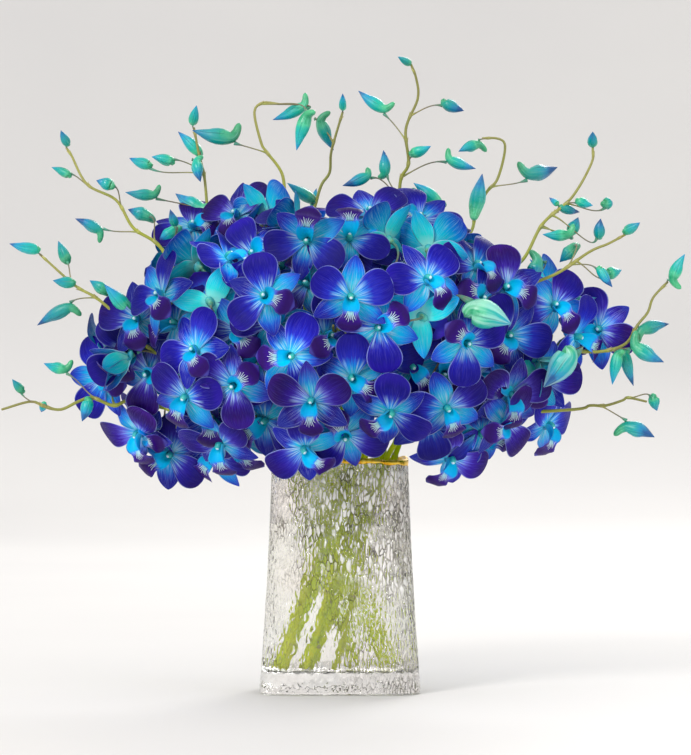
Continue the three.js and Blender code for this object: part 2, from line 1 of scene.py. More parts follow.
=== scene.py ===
"""Looks of a bouquet of blue dendrobium orchids in a hammered glass vase with a gilt rim.

Shapes are worked out in millimetres, +Z up, +X to the right and +Y away from the viewer, and go into the meshes
in metres. The layout of stems, buds and flowers is the one that the solids have. Only the tilt of four low flowers
and the depth of eight others differ, and the flowers that fill the mass, three half-open ones and two buds are
added here.
"""

import math

import bpy
import numpy as np
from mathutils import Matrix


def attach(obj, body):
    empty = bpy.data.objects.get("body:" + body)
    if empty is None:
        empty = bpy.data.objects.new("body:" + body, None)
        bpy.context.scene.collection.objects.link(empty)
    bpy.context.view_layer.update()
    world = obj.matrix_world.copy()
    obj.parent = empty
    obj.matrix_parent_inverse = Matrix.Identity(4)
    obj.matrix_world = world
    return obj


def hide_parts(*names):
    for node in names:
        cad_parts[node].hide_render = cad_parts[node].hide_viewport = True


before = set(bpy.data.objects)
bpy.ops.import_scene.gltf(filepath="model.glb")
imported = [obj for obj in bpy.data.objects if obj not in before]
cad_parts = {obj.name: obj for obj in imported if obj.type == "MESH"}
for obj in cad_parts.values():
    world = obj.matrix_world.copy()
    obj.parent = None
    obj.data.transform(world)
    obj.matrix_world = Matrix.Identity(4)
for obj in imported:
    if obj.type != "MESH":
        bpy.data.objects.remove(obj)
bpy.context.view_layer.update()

MM = 0.001
ROOT = "root"
SEEDS = dict(stem=100, flower=500, vase=7, gilt=8)

# ---------------------------------------------------------------------------------------------------------
# The vase. Pairs are half its width and half its depth, or a value at its foot and one at its rim.

VASE_HEIGHT = 175.0
FOOT = (61.0, 38.0)
RIM = (51.5, 33.0)
CORNER_POWER = (6.0, 4.2)  # how square its section is: 2 is an ellipse
WAIST = 1.2  # how far its sides are drawn in halfway up
GLASS_WALL = 3.6
FLOOR_THICKNESS = 16.0
RIM_WAVE = 1.3  # how far the rim rises and dips
WATER_LEVEL = 128.0
GAP = 0.35  # between solids that would touch

# ---------------------------------------------------------------------------------------------------------
# The layout. Places across and up are seen from the eye, at their own depth.

EYE = (3000.0, 260.0)  # its distance and height
STEM_RADIUS = (2.4, 2.1, 0.9)  # of a stem at its foot, in the vase's mouth and at its tip
MASS = dict(half_width=172.0, front_depth=122.0, back_depth=88.0, half_height=106.0, height=268.0)

# One row for each spray: its name, its foot on the vase's floor and its place in the mouth, both [x, y], its route
# from there, [across, depth, up], and its buds, [base across, base up, tip across, tip up, breadth]. A breadth
# below 0 puts the bud's heel on its other side.
SPRAYS = [
    ("spray_right_low_outer", [-22, -13], [40, -13],
     [[68, 20, 236], [122, 10, 250], [167, 0, 258], [198, 0, 258], [217, 0, 264], [226, 0, 278], [234, 0, 288],
      [238, 0, 299], [249, 0, 311]],
     [[249, 312, 262, 332, -13], [226, 277, 250, 279, -14], [220, 260, 246, 250, 16], [214, 258, 223, 232, 11],
      [210, 258, 207, 233, 11], [169, 293, 195, 299, -12], [152, 290, 131, 293, 10], [160, 265, 128, 259, 24]]),
    ("spray_right_high", [-46, -13], [14, -13],
     [[61, 20, 252], [97, 20, 288], [117, 15, 312], [139, 15, 328], [154, 20, 355], [176, 25, 375],
      [191, 25, 401], [192, 25, 413]],
     [[192, 413, 192, 425, 8], [167, 366, 182, 364, 8], [176, 344, 154, 347, 12], [176, 346, 181, 360, 10],
      [179, 371, 192, 369, 8], [166, 369, 159, 375, 5], [195, 344, 198, 359, 9], [201, 367, 207, 372, 10]]),
    ("spray_hook_right", [-42, -7], [18, -7],
     [[46, 40, 244], [70, 60, 290], [88, 75, 333], [100, 80, 350], [103, 85, 364], [112, 88, 380],
      [119, 88, 388], [124, 88, 404], [125, 86, 416], [119, 84, 420], [108, 80, 420]],
     [[106, 419, 90, 410, -12], [141, 388, 165, 398, 17], [102, 363, 108, 393, -17]]),
    ("spray_back_right", [-25, -7], [31, -7],
     [[46, 40, 229], [91, 75, 262], [114, 105, 290], [125, 120, 318]],
     [[125, 319, 130, 339, 9], [114, 296, 132, 303, -12], [108, 288, 90, 302, 14]]),
    ("spray_top", [-48, -7], [6, -7],
     [[27, 20, 259], [36, 25, 305], [40, 30, 329], [44, 30, 357], [46, 32, 388], [52, 30, 401], [50, 30, 427],
      [59, 30, 450], [58, 28, 465], [54, 26, 476]],
     [[54, 476, 44, 482, 6], [34, 438, 14, 456, 13], [77, 445, 94, 441, 10], [36, 391, 33, 411, -11],
      [54, 406, 69, 414, 9], [80, 402, 103, 397, 12], [79, 371, 56, 386, -15], [49, 376, 55, 363, 12],
      [24, 390, 2, 384, 11]]),
    ("spray_back_middle", [36, 19], [-3, 19],
     [[4, 45, 236], [2, 85, 280], [-2, 112, 322], [-3, 128, 350]],
     [[-3, 351, -6, 372, 9], [-12, 334, -28, 342, 12], [8, 322, 26, 330, -14]]),
    ("spray_top_back", [14, 19], [-14, 19],
     [[-11, 50, 244], [-20, 70, 305], [-21, 80, 356], [-18, 80, 372], [-14, 80, 385], [-8, 80, 394],
      [-7, 78, 408], [-4, 76, 420], [2, 74, 440]],
     [[2, 441, 2, 454, 6], [-19, 435, -5, 411, 14], [-19, 371, -40, 386, 13], [-21, 369, -18, 382, 6]]),
    ("spray_back_left", [8, 19], [-32, 19],
     [[-38, 40, 229], [-80, 75, 266], [-99, 102, 298], [-109, 118, 322]],
     [[-109, 323, -118, 342, 9], [-98, 306, -114, 300, 12], [-92, 294, -78, 311, -14]]),
    ("spray_hook_left", [38, 13], [-10, 13],
     [[-23, 0, 252], [-27, 0, 305], [-34, 5, 346], [-41, 8, 369], [-44, 10, 393], [-56, 10, 410],
      [-60, 10, 417], [-65, 10, 440], [-58, 10, 447], [-46, 10, 446]],
     [[-79, 416, -112, 426, 17], [-24, 443, -51, 434, 13], [-26, 440, -33, 411, 14]]),
    ("spray_left_high", [31, 13], [-24, 13],
     [[-46, 10, 244], [-74, 25, 290], [-90, 30, 328], [-95, 35, 346], [-100, 38, 361], [-103, 42, 390],
      [-107, 44, 407], [-111, 46, 428]],
     [[-112, 430, -109, 445, 8], [-106, 409, -123, 425, 11], [-126, 404, -143, 406, -9],
      [-144, 397, -160, 405, 9], [-112, 404, -106, 387, 11], [-104, 361, -125, 378, 17],
      [-139, 374, -163, 379, 12]]),
    ("spray_left_middle", [12, 13], [-38, 13],
     [[-57, -5, 244], [-87, -5, 280], [-118, 0, 308], [-137, 0, 338], [-157, 0, 352], [-170, 0, 373],
      [-192, 0, 385], [-204, 0, 407], [-208, 0, 413]],
     [[-208, 414, -212, 426, 7], [-204, 393, -219, 398, -7], [-172, 384, -185, 388, -10],
      [-144, 361, -161, 366, 14], [-179, 351, -201, 359, -12], [-125, 352, -138, 341, 13],
      [-125, 353, -129, 366, 7]]),
    ("spray_left_low", [34, 7], [-26, 7],
     [[-65, -15, 225], [-106, -20, 238], [-147, -25, 262], [-167, -28, 283], [-184, -30, 298],
      [-198, -30, 306], [-207, -30, 313], [-228, -30, 332]],
     [[-229, 333, -251, 340, 9], [-207, 326, -214, 342, 9], [-202, 308, -218, 312, 9],
      [-204, 296, -230, 278, -14], [-160, 288, -179, 309, 15], [-176, 303, -190, 312, 11]]),
    ("spray_left_lowest", [9, 7], [-40, 7],
     [[-57, -18, 202], [-103, -22, 207], [-154, -10, 221], [-172, -10, 217], [-188, -10, 223],
      [-199, -12, 220], [-212, -12, 214], [-224, -12, 216], [-235, -12, 220], [-257, -12, 214]],
     [[-242, 226, -249, 237, 7], [-207, 241, -225, 249, 12], [-189, 221, -196, 205, 10],
      [-225, 218, -227, 212, 6]]),
    ("spray_front_left", [41, 7], [-12, 7],
     [[-28, -40, 206], [-52, -60, 211], [-72, -58, 207], [-88, -44, 199]],
     []),
    ("spray_front_middle", [-41, -19], [0, -19],
     [[-4, -35, 233], [-4, -70, 259], [-5, -90, 278]],
     []),
    ("spray_front_right", [-25, -19], [16, -19],
     [[36, -42, 206], [56, -60, 211], [71, -58, 206], [81, -40, 194]],
     []),
    ("spray_right_lowest", [-4, -19], [34, -19],
     [[61, -18, 206], [110, -20, 210], [178, -2, 214], [190, -2, 217], [202, -2, 217], [215, -2, 221],
      [219, 0, 223], [233, 0, 220]],
     [[217, 206, 239, 193, -16], [236, 224, 241, 213, 9]]),
    ("spray_right_middle", [-29, -13], [27, -13],
     [[46, -10, 252], [87, -20, 280], [120, -25, 299], [144, -25, 309], [166, -25, 318], [190, -25, 334],
      [204, -25, 340], [217, -25, 347]],
     [[217, 347, 228, 356, 8], [202, 314, 214, 320, 10], [195, 321, 207, 307, 8], [179, 339, 167, 326, 14],
      [156, 326, 145, 314, 17]]),
]

# One row for each flower: across, up, roll to the left, how many layers deep it lies in the mass, and how far it
# turns right and tilts up from the way that the mass faces there. Angles are in degrees.
FRONT_FLOWERS = [
    [-117, 223, -24, 0, 0, 0], [-109, 259, 40, 1, 0, 0], [-80, 233, 124, 1, 0, 0], [-90, 188, 10, 0, 0, -7],
    [-145, 201, 60, 1, -20, 0], [-38, 255, -90, 1, 0, 0], [-56, 300, 70, 0, 0, 0], [-49, 280, 150, 2, 0, 0],
    [-21, 220, 5, 0, 0, 0], [-26, 185, 55, 0, 0, -12], [10, 238, 60, 1.5, 0, 0], [30, 277, 125, 1.5, 0, 0],
    [38, 212, -62, 0, -12, 0], [81, 215, 20, 1, 0, 0], [95, 265, -124, 0, 0, 0], [83, 177, -30, 0, 10, -9],
    [8, 299, -5, 0, 0, -12], [7, 344, 180, 1, 0, 10], [66, 312, 25, 0.5, 0, 0], [68, 337, -20, 2, 150, 0],
    [36, 344, 20, 2, -150, 0], [-24, 343, 170, 0, -10, -20], [-78, 361, 20, 2, -20, 0], [-55, 361, -20, 3, 150, 0],
    [-109, 324, 0, 1.5, -100, 10], [-135, 301, 45, 0, 0, 0], [-85, 328, 10, 1, 90, 30], [-98, 295, 150, 2, -150, 0],
    [103, 322, 10, 2, 20, 0], [128, 225, 0, 1.5, 0, 0], [125, 205, -77, 0, 0, -10], [157, 202, -18, 1, 0, 0],
    [179, 269, 60, 0, 0, 0], [142, 238, 10, 2, 170, 0], [61, 285, -60, 2, 170, 0], [108, 197, 90, 2.5, 0, 0],
    [-11, 270, -60, 2.5, 60, 0], [-76, 274, 40, 2.6, 0, 0], [-175, 258, 30, 1, -60, -20], [4, 195, -160, 1, 0, -10],
    [-65, 331, 100, 2, 0, 10], [106, 297, -100, 2.5, 0, 10],
]
# Flowers in the looks alone: some deeper in the mass, which show only between the ones above, and some between
# its front and back, at its sides and over its top.
INNER_FLOWERS = [
    [55, 246, 40, 3.2, 10, 0], [-57, 206, -60, 2.5, -10, 0], [-145, 242, 100, 3.4, 20, 0],
    [-25, 310, 200, 3, 0, 0], [127, 270, -40, 3.2, -20, 0], [35, 314, 130, 4.2, 20, 0], [103, 238, 70, 3.4, 0, 0],
    [-153, 282, 15, 1.5, 25, 0], [-45, 230, 150, 3.8, 0, 10], [66, 206, -100, 2.8, 0, 0], [-74, 190, 30, 2, -10, 0],
    [-125, 278, -50, 2.5, 0, 10], [79, 242, 180, 3.5, -20, 0], [31, 250, -20, 3.4, 0, 0], [-13, 246, 90, 3, 20, 0],
    [-61, 250, -130, 3.2, 0, 0], [-1, 322, 40, 3.3, -15, 0], [83, 294, 100, 3.9, 0, 0], [-97, 210, -10, 2.6, 15, 0],
    [127, 306, 60, 2, -20, 0], [23, 362, 10, 2.5, 0, 10], [-45, 322, -80, 4, 0, 0],
    [-77, 306, 170, 3.8, 10, 0], [-101, 238, 60, 3, -10, 0], [-94, 180, -40, 1.6, -10, 14],
    [-152, 196, 10, 0.6, -10, -10], [-130, 180, -70, 1.6, 25, 14], [-178, 238, 80, 0.4, 25, 0],
    [-158, 258, -20, 2.8, 30, 0], [163, 292, 30, 1.2, -30, 0], [196, 274, -50, 1.5, -60, 0],
    [152, 238, -20, 1.6, -20, 0],
    [-112, 352, 60, 2, 30, 10], [60, 358, -60, 2.5, 0, 10],
    [118, 312, 30, 8, 60, 10], [136, 280, -50, 6, 55, 0], [128, 246, 100, 7, 60, 0], [124, 212, 10, 7.5, 60, -10],
    [-120, 312, -30, 8, -60, 10], [-138, 280, 70, 6, -60, 0], [-130, 246, 130, 7, -60, 0],
    [-124, 212, 20, 7.5, -60, -10],
    [60, 322, 80, 8, 40, 30], [-60, 322, -80, 8, -40, 30],
    [-112, 326, 30, 7, 0, 35], [-76, 344, 100, 7.5, 0, 35], [-36, 350, -40, 6.5, 10, 35], [4, 352, 60, 8.5, 0, 40],
    [42, 350, 140, 6.8, 0, 35], [80, 336, -100, 6.5, 0, 35], [-92, 334, -70, 10.5, 180, 30],
    [-56, 346, 10, 11.5, 180, 25], [-18, 350, 200, 12, 180, 25], [22, 348, 80, 11.5, 180, 25],
    [60, 342, -20, 10.5, 180, 25], [92, 324, 50, 10, 180, 25],
    [-20, 334, 50, 4.6, 0, 32], [18, 336, -70, 4.2, 0, 30], [52, 328, 160, 4.8, 0, 34], [-58, 330, 15, 4.6, 0, 30],
    [88, 312, -10, 4.4, 10, 32], [-92, 310, 85, 4.6, -10, 30], [0, 316, 120, 7, 0, 38], [-40, 312, 10, 7.5, 0, 38],
    [38, 312, -30, 7.4, 0, 38], [-128, 294, 40, 6, -20, 35], [128, 292, -40, 6, 20, 35],
]
HALF_OPEN_FLOWERS = [[-160, 254, 150, 1, -30, -22], [-30, 352, 190, 1.5, -60, 12], [150, 252, 20, 2.2, 40, -30]]
HALF_OPEN_FOLD = 52.0  # how far their petals rise from flat
# Buds before the mass, in the looks alone: rows as in SPRAYS, with the base's depth as well.
FRONT_BUDS = {"spray_right_middle": [[99, 296, 130, 279, -22, -104]],
              "spray_right_low_outer": [[180, 256, 155, 231, 20, -52]]}
LAYER_DEPTH = 11.0
TURN_AT_EDGE = 50.0  # how far the mass faces aside at its edge
TILT_AT_EDGE = 40.0  # and up at its top
INNER_SHADE = 0.75  # how much less light a flower's paint has three layers deep
BACK_FLOWER_COUNT = 22
BACK_HEIGHTS = (-0.66, 0.93)  # of the lowest and the highest, as shares of the mass's half height
BACK_EDGE = 10.0  # the back flowers start this many degrees behind the mass's side
BACK_ROLL_STEP = 137
GOLDEN_TURN = 0.618034
NUMBER_FROM = dict(back=40, inner=70, half_open=110)  # a flower's number sets its cup and its random draws
CUP = (-2.0, 8.0)  # how far petals rise at their tips: the least, and what a flower's number can add
OVARY_LENGTH = 7.0  # from a flower's face to the end of its stalk
COLUMN_HEIGHT = 4.5
STALK_LAG = 14.0  # how far below its flower or bud a stalk leaves the stem
SESSILE_REACH = 5.0  # a bud nearer to its stem than this has hardly a stalk

# ---------------------------------------------------------------------------------------------------------
# Small helpers.


def mix(a, b, t):
    """a at t = 0 and b at t = 1."""
    return a + (b - a) * t


def unit(v):
    """Vectors scaled to length 1 along their last axis."""
    v = np.asarray(v, float)
    return v / np.maximum(np.linalg.norm(v, axis=-1, keepdims=True), 1e-9)


def square_to(v, along):
    """v less its share along a direction, scaled to length 1."""
    return unit(v - np.dot(v, along) * np.asarray(along))


def smooth(t):
    """0 up to 0, 1 from 1 on, and 3 t^2 - 2 t^3 between."""
    t = np.clip(t, 0, 1)
    return t * t * (3 - 2 * t)


def seen(across, up, depth):
    """The point at a depth that the eye sees at (across, up): offsets from its axis grow by depth / distance."""
    share = depth / EYE[0]
    return np.array([across * (1 + share), depth, up + (up - EYE[1]) * share])


def srgb(r, g, b):
    """A colour as a paint chart gives it, 0 to 255, in the linear scale that shaders use."""
    c = np.array([r, g, b]) / 255
    linear = np.where(c <= 0.04045, c / 12.92, ((c + 0.055) / 1.055) ** 2.4)
    return (*map(float, linear), 1.0)


def paints(*stops):
    """The stops of a colour ramp, from rows of place, red, green and blue."""
    return [(place, srgb(*colour)) for place, *colour in stops]


def circle(count):
    """Angles evenly round a circle."""
    return 2 * np.pi * np.arange(count) / count


def capped(t, last=1):
    """t with a 0 before it and a last value after it: v along a tube whose ends close to points."""
    return np.concatenate([[0], t, [last]])


def eased(line, window):
    """Columns of points smoothed with a bell that spans window of them; the ends stay where they are."""
    bell = np.hanning(window) / np.hanning(window).sum()
    return np.stack([np.convolve(np.pad(column, window // 2, mode="reflect", reflect_type="odd"), bell, "valid")
                     for column in line.T], -1)


def follow(t, at, points):
    """The points' columns, given at the places at, read off at t."""
    return np.stack([np.interp(t, at, column) for column in points.T], -1)


# ---------------------------------------------------------------------------------------------------------
# Meshes: closed tubes and bands gathered into one shell a piece.


def pairs(u, v):
    """Arrays u and v as an array of places (u, v)."""
    return np.stack(np.broadcast_arrays(u, v), -1)


def grid_faces(rows, cols, closed, across, along):
    """The faces of a grid of points, as corners and their places. Its columns join up to rings, and the last ring
    is joined to the first one if it is closed. across is u at each column, along is v at each row."""
    i, j = np.meshgrid(np.arange(rows if closed else rows - 1), np.arange(cols), indexing="ij")
    k, m = (j + 1) % cols, (i + 1) % rows
    corners = np.stack([i * cols + j, i * cols + k, m * cols + k, m * cols + j], -1)
    u0, u1, v0, v1 = across[j], across[j + 1], along[i], along[i + 1]
    return corners.reshape(-1, 4), np.stack([pairs(u0, v0), pairs(u1, v0), pairs(u1, v1), pairs(u0, v1)], -2)


class Shell:
    """The closed surfaces of one piece. Each point carries four tint numbers and each corner a place (u, v)."""

    def __init__(self):
        self.points, self.tints, self.count = [], [], 0
        self.faces = {4: [], 3: []}

    def add(self, points, tints, look, *faces):
        """Adds points and the faces between them, each given as arrays of corners and of their places."""
        for corners, places in faces:
            looks = np.full(len(corners), look)
            self.faces[corners.shape[1]].append((corners + self.count, places.reshape(-1, 2), looks))
        self.points.append(points)
        self.tints.append(tints)
        self.count += len(points)

    def tube(self, rings, start, end, across, along, tint, look=0):
        """rings (rows, columns, 3) joined into a tube that closes to the points start and end.

        across (columns + 1) is u round a ring, along (rows + 2) is v from start to end, and tint is four
        numbers, or an array of them that fits (rows, columns, 4)."""
        rows, cols = rings.shape[:2]
        tint = np.broadcast_to(np.asarray(tint, float), (rows, cols, 4))
        j, far, first = np.arange(cols), (rows - 1) * cols, rows * cols
        k = (j + 1) % cols
        fans = np.concatenate([np.stack([k, j, 0 * j + first], -1),
                               np.stack([j + far, k + far, 0 * j + first + 1], -1)])
        middle = (across[j] + across[j + 1]) / 2
        fan_places = np.concatenate([
            np.stack([pairs(a, edge), pairs(b, edge), pairs(middle, tip)], -2)
            for a, b, edge, tip in ((across[j + 1], across[j], along[1], along[0]),
                                    (across[j], across[j + 1], along[-2], along[-1]))])
        self.add(np.concatenate([rings.reshape(-1, 3), [start, end]]),
                 np.concatenate([tint.reshape(-1, 4), [tint[0].mean(0), tint[-1].mean(0)]]),
                 look, grid_faces(rows, cols, False, across, along[1:-1]), (fans, fan_places))

    def band(self, rings, across, along, tint, look=0):
        """rings (rows, columns, 3) joined into a closed band: the last ring is joined to the first."""
        rows, cols = rings.shape[:2]
        self.add(rings.reshape(-1, 3), np.broadcast_to(np.asarray(tint, float), (rows * cols, 4)), look,
                 grid_faces(rows, cols, True, across, along))

    def mesh(self, name):
        """The mesh in metres, with its map called sheet and its numbers called tint."""
        corners, places, looks = zip(*self.faces[4], *self.faces[3])
        sizes = np.concatenate([np.full(len(c), c.shape[1]) for c in corners])
        mesh = bpy.data.meshes.new(name)
        mesh.vertices.add(self.count)
        mesh.vertices.foreach_set("co", (np.concatenate(self.points) * MM).ravel())
        mesh.loops.add(sizes.sum())
        mesh.loops.foreach_set("vertex_index", np.concatenate([c.ravel() for c in corners]).astype(np.int32))
        mesh.polygons.add(len(sizes))
        mesh.polygons.foreach_set("loop_start", (np.cumsum(sizes) - sizes).astype(np.int32))
        mesh.polygons.foreach_set("material_index", np.concatenate(looks).astype(np.int32))
        mesh.polygons.foreach_set("use_smooth", np.ones(len(sizes), bool))
        mesh.uv_layers.new(name="sheet").data.foreach_set("uv", np.concatenate(places).ravel())
        tint = mesh.attributes.new("tint", "FLOAT_COLOR", "POINT")
        tint.data.foreach_set("color", np.concatenate(self.tints).ravel())
        mesh.update(calc_edges=True)
        mesh.validate()
        return mesh


def piece(name, shell, looks, slot, *nodes):
    """The shell as a piece that rides on the root and stands for the CAD nodes."""
    mesh = shell.mesh(name)
    for look in looks:
        mesh.materials.append(look)
    made = bpy.data.objects.new(name, mesh)
    bpy.context.scene.collection.objects.link(made)
    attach(made, ROOT)
    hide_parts(*nodes)


def rings_round(path, radii, sides, reference, shape=1.0, shift=None):
    """Rings square to a path: centre + radius x shape x (cos a x side + sin a x other) + shift x along."""
    along = unit(np.gradient(path, axis=0))
    reference = np.asarray(reference, float)
    side = unit(reference - (along @ reference)[:, None] * along)
    other = np.cross(along, side)
    angle = circle(sides)
    radius = np.asarray(radii)[:, None] * np.broadcast_to(shape, (len(path), sides))
    rings = path[:, None] + radius[..., None] * (
        np.cos(angle)[None, :, None] * side[:, None] + np.sin(angle)[None, :, None] * other[:, None])
    return rings if shift is None else rings + shift[..., None] * along[:, None]


def add_rod(shell, path, t, radii, sides, reference, tint, look, shape=1.0, shift=None, end=None):
    """A closed rod along a path, whose rings lie at t from 0 to 1. It ends at the path's last point, or at end."""
    rings = rings_round(path, radii, sides, reference, shape, shift)
    shell.tube(rings, path[0], path[-1] if end is None else end, np.linspace(0, 1, sides + 1), capped(t), tint, look)


def sheet_rings(middle, thickness):
    """A thin sheet as rings: over its front from one edge to the other, and back under it.

    middle (rows, n + 1, 3) is the sheet's middle surface. Its front is middle + half the thickness along
    du x dv and its back the same the other way, and both meet at the edges."""
    normal = unit(np.cross(np.gradient(middle, axis=1), np.gradient(middle, axis=0)))
    half = (thickness / 2)[..., None] * normal
    front, back = middle + half, middle - half
    front[:, 0], front[:, -1] = middle[:, 0], middle[:, -1]
    return np.concatenate([front, back[:, -2:0:-1]], axis=1)


# ---------------------------------------------------------------------------------------------------------
# Stems, stalks and buds.


def stem_path(foot, mouth, route):
    """A stem's line: straight from the vase's floor to its mouth, then a Catmull-Rom curve through its route."""
    foot, lip = np.array([*foot, FLOOR_THICKNESS + GAP]), np.array([*mouth, VASE_HEIGHT])
    foot[2] += STEM_RADIUS[0] * math.hypot(lip[0] - foot[0], lip[1] - foot[1]) / np.linalg.norm(lip - foot)
    knots = np.array([mix(lip, foot, 0.3), lip, *[seen(a, u, d) for a, d, u in route]])
    padded = np.vstack([2 * knots[0] - knots[1], knots, 2 * knots[-1] - knots[-2]])
    parts = [foot + (lip - foot) * np.linspace(0, 1, 40, endpoint=False)[:, None]]
    for i in range(1, len(knots) - 1):
        p0, p1, p2, p3 = padded[i:i + 4]
        t = np.linspace(0, 1, max(4, int(np.linalg.norm(p2 - p1) / 2.4)), endpoint=False)[:, None]
        t0, t1 = (p2 - p0) / 2, (p3 - p1) / 2
        parts.append(p1 + t0 * t + (3 * (p2 - p1) - 2 * t0 - t1) * t ** 2 + (2 * (p1 - p2) + t0 + t1) * t ** 3)
    path = np.vstack([*parts, knots[-1:]])
    lengths = np.concatenate([[0], np.cumsum(np.linalg.norm(np.diff(path, axis=0), axis=1))])
    return path, lengths, float(np.linalg.norm(lip - foot))


def point_at(stem, length):
    """The point of a stem at a length along it."""
    return follow(length, stem["lengths"], stem["path"])


def nearest(stem, place):
    """(length along the stem, gap) where it passes nearest to a place."""
    a, b = stem["path"][:-1], stem["path"][1:]
    run = b - a
    t = np.clip(np.sum((place - a) * run, 1) / np.maximum(np.sum(run * run, 1), 1e-9), 0, 1)
    gaps = np.linalg.norm(a + run * t[:, None] - place, axis=1)
    i = int(np.argmin(gaps))
    return mix(stem["lengths"][i], stem["lengths"][i + 1], t[i]), gaps[i]


def hermite(start, end, leave, arrive, count):
    """A cubic from start to end that leaves and arrives along the given vectors."""
    t = np.linspace(0, 1, count)[:, None]
    return ((2 * t ** 3 - 3 * t ** 2 + 1) * start + (t ** 3 - 2 * t ** 2 + t) * leave
            + (3 * t ** 2 - 2 * t ** 3) * end + (t ** 3 - t ** 2) * arrive)


def stem_way(stem, length):
    """The direction in which a stem runs at a length."""
    return unit(point_at(stem, length + 2) - point_at(stem, length - 2))


STEM_LOOK, STALK_LOOK, BUD_LOOK, SCALE_LOOK = range(4)
STEM_SIDES = 12
NODE_SWELL = 0.38  # how much thicker a stem is at a node
NODE_SPACING = 31.0  # below its lowest stalk
SCALE_TURN = 2.4  # how much further round the stem each scale sits, in radians
BUD_PROFILE = ([0, 0.04, 0.1, 0.2, 0.3, 0.36, 0.46, 0.58, 0.7, 0.82, 0.92, 0.97, 1],
               [0.22, 0.4, 0.5, 0.58, 0.74, 0.9, 1.0, 0.97, 0.82, 0.54, 0.27, 0.12, 0.04])
SPUR_SHARE = 0.3
# Breadths of buds: slim ones up to the first, ones that show their spur from the side between the second and the
# last, and ones that start to open and show pale ribs above the third.
BUD_SLIM, BUD_SIDE_ON, BUD_OPENING, BUD_LARGE = 9.5, 12.0, 16.0, 20.0


def add_stalk(shell, root, end, leave, arrive, radii, rng):
    """A slim stalk: a cubic curve with a swollen root and a flare at its far end."""
    span = np.linalg.norm(end - root)
    count = max(7, int(span / 1.8))
    path = hermite(root, end, leave * span, arrive * span, count)
    t = np.linspace(0, 1, count)
    radius = np.interp(t, [0, 0.1, 0.25, 0.8, 1], radii)
    add_rod(shell, path, t, radius, 8, [0.21, 0.94, 0.27], [rng.random(), rng.random(), 0, 0], STALK_LOOK)


def add_bud(shell, stem, bud, number, rng, depth=None):
    """A closed bud on its stalk: one closed tube that runs up its spur, turns at its base and thins to its tip.

    The first SPUR_SHARE of the tube is the spur. The radius follows BUD_PROFILE, less three faint grooves. The
    breadth given includes the spur where it shows from the side, and the body is then 0.78 of it; else it is 1.02.
    The base lies at its stem's depth, or at the one given."""
    base_x, base_z, tip_x, tip_z, signed = bud
    broad, swing = abs(signed), (1 if number % 2 else -1)
    side_on = float(smooth((broad - BUD_SLIM) / (BUD_SIDE_ON - BUD_SLIM))) * (broad < BUD_LARGE)
    width, spur = mix(0.51, 0.39, side_on) * broad, mix(0.3, 0.76, side_on) * broad
    first, _ = nearest(stem, seen(base_x, base_z, stem["path"][-1][1]))
    level = point_at(stem, first)[1] if depth is None else depth
    near, gap = nearest(stem, seen(base_x, base_z, level))
    sessile = gap < SESSILE_REACH
    root_length = max(near - (SESSILE_REACH if sessile else STALK_LAG), stem["mouth"] + 5)
    root = point_at(stem, root_length)
    base = seen(base_x, base_z, level + swing * min(5, gap))
    tip = seen(tip_x, tip_z, level + swing * 9)
    axis = unit(tip - base)
    long = float(np.linalg.norm(tip - base))
    before = unit(base - root)
    start = np.array([0, 0, 1.0]) if abs(before[2]) < 0.9 else np.array([0, 1.0, 0])
    side = square_to(square_to(square_to(start, before), unit(base + 0.18 * long * axis - root)), axis)
    heel_way = side if signed > 0 else -side

    stem["nodes"].append(root_length)
    away = unit(before + 0.5 * stem_way(stem, root_length) + [0, 0, -0.25])
    add_stalk(shell, root, base + 0.04 * long * axis, away, axis * (0.9 if sessile else 1.1),
              [1.2, 0.75, 0.5, 0.5, max(0.65, 0.28 * width)], rng)

    rows, sides = 30, 16
    t = np.linspace(0, 1, rows)
    spur_way = unit(heel_way - rng.uniform(0.0, 0.3) * axis)
    corner = base + unit(axis + spur_way) * 0.5 * width
    ease = min(0.5 * spur, 0.9 * width)
    knots = np.array([corner + spur_way * spur, corner + spur_way * ease, corner + 0.25 * ease * (spur_way + axis),
                      corner + axis * ease, mix(corner, tip, 0.6) - 0.02 * long * heel_way, tip])
    fine = np.linspace(0, 1, 161)
    path = follow(t, fine, eased(follow(fine, [0, 0.22, SPUR_SHARE, 0.38, 0.74, 1], knots), 19))
    angle = circle(sides)
    grooves = sum(np.exp(-((np.angle(np.exp(1j * (angle - g)))) / 0.3) ** 2) for g in (1.1, 3.2, 5.2))
    groove_depth = 0.12 * smooth((t - 0.3) / 0.25) * (1 - t ** 6)
    shape = (1 - groove_depth[:, None] * grooves) * (1 - 0.14 * np.sin(angle) ** 2 * smooth((0.6 - t) / 0.4)[:, None])
    tint = np.empty((rows, sides, 4))
    tint[..., 0], tint[..., 1] = rng.random(), rng.random()
    tint[..., 2] = smooth((SPUR_SHARE + 0.06 - t) / 0.2)[:, None]
    tint[..., 3] = smooth((broad - BUD_OPENING) / 5)
    rings = rings_round(path, width * np.interp(t, *BUD_PROFILE), sides, unit(np.cross(axis, heel_way)), shape)
    shell.tube(rings, path[0] + 0.12 * width * spur_way, tip + 0.15 * axis, np.linspace(0, 1, sides + 1), capped(t),
               tint, BUD_LOOK)


def add_flower_stalk(shell, stem, near, flower, rng):
    """The stalk of an open flower: it leaves its stem and turns to come in square behind the flower."""
    root_length = max(near - STALK_LAG, stem["mouth"] + 5)
    root = point_at(stem, root_length)
    end = flower["centre"] - flower["facing"] * (OVARY_LENGTH + GAP - 0.6)
    stem["nodes"].append(root_length)
    away = unit(unit(end - root) + 0.6 * stem_way(stem, root_length))
    add_stalk(shell, root, end, away * 0.9, flower["facing"] * 1.2, [1.4, 1.0, 0.75, 0.8, 1.35], rng)


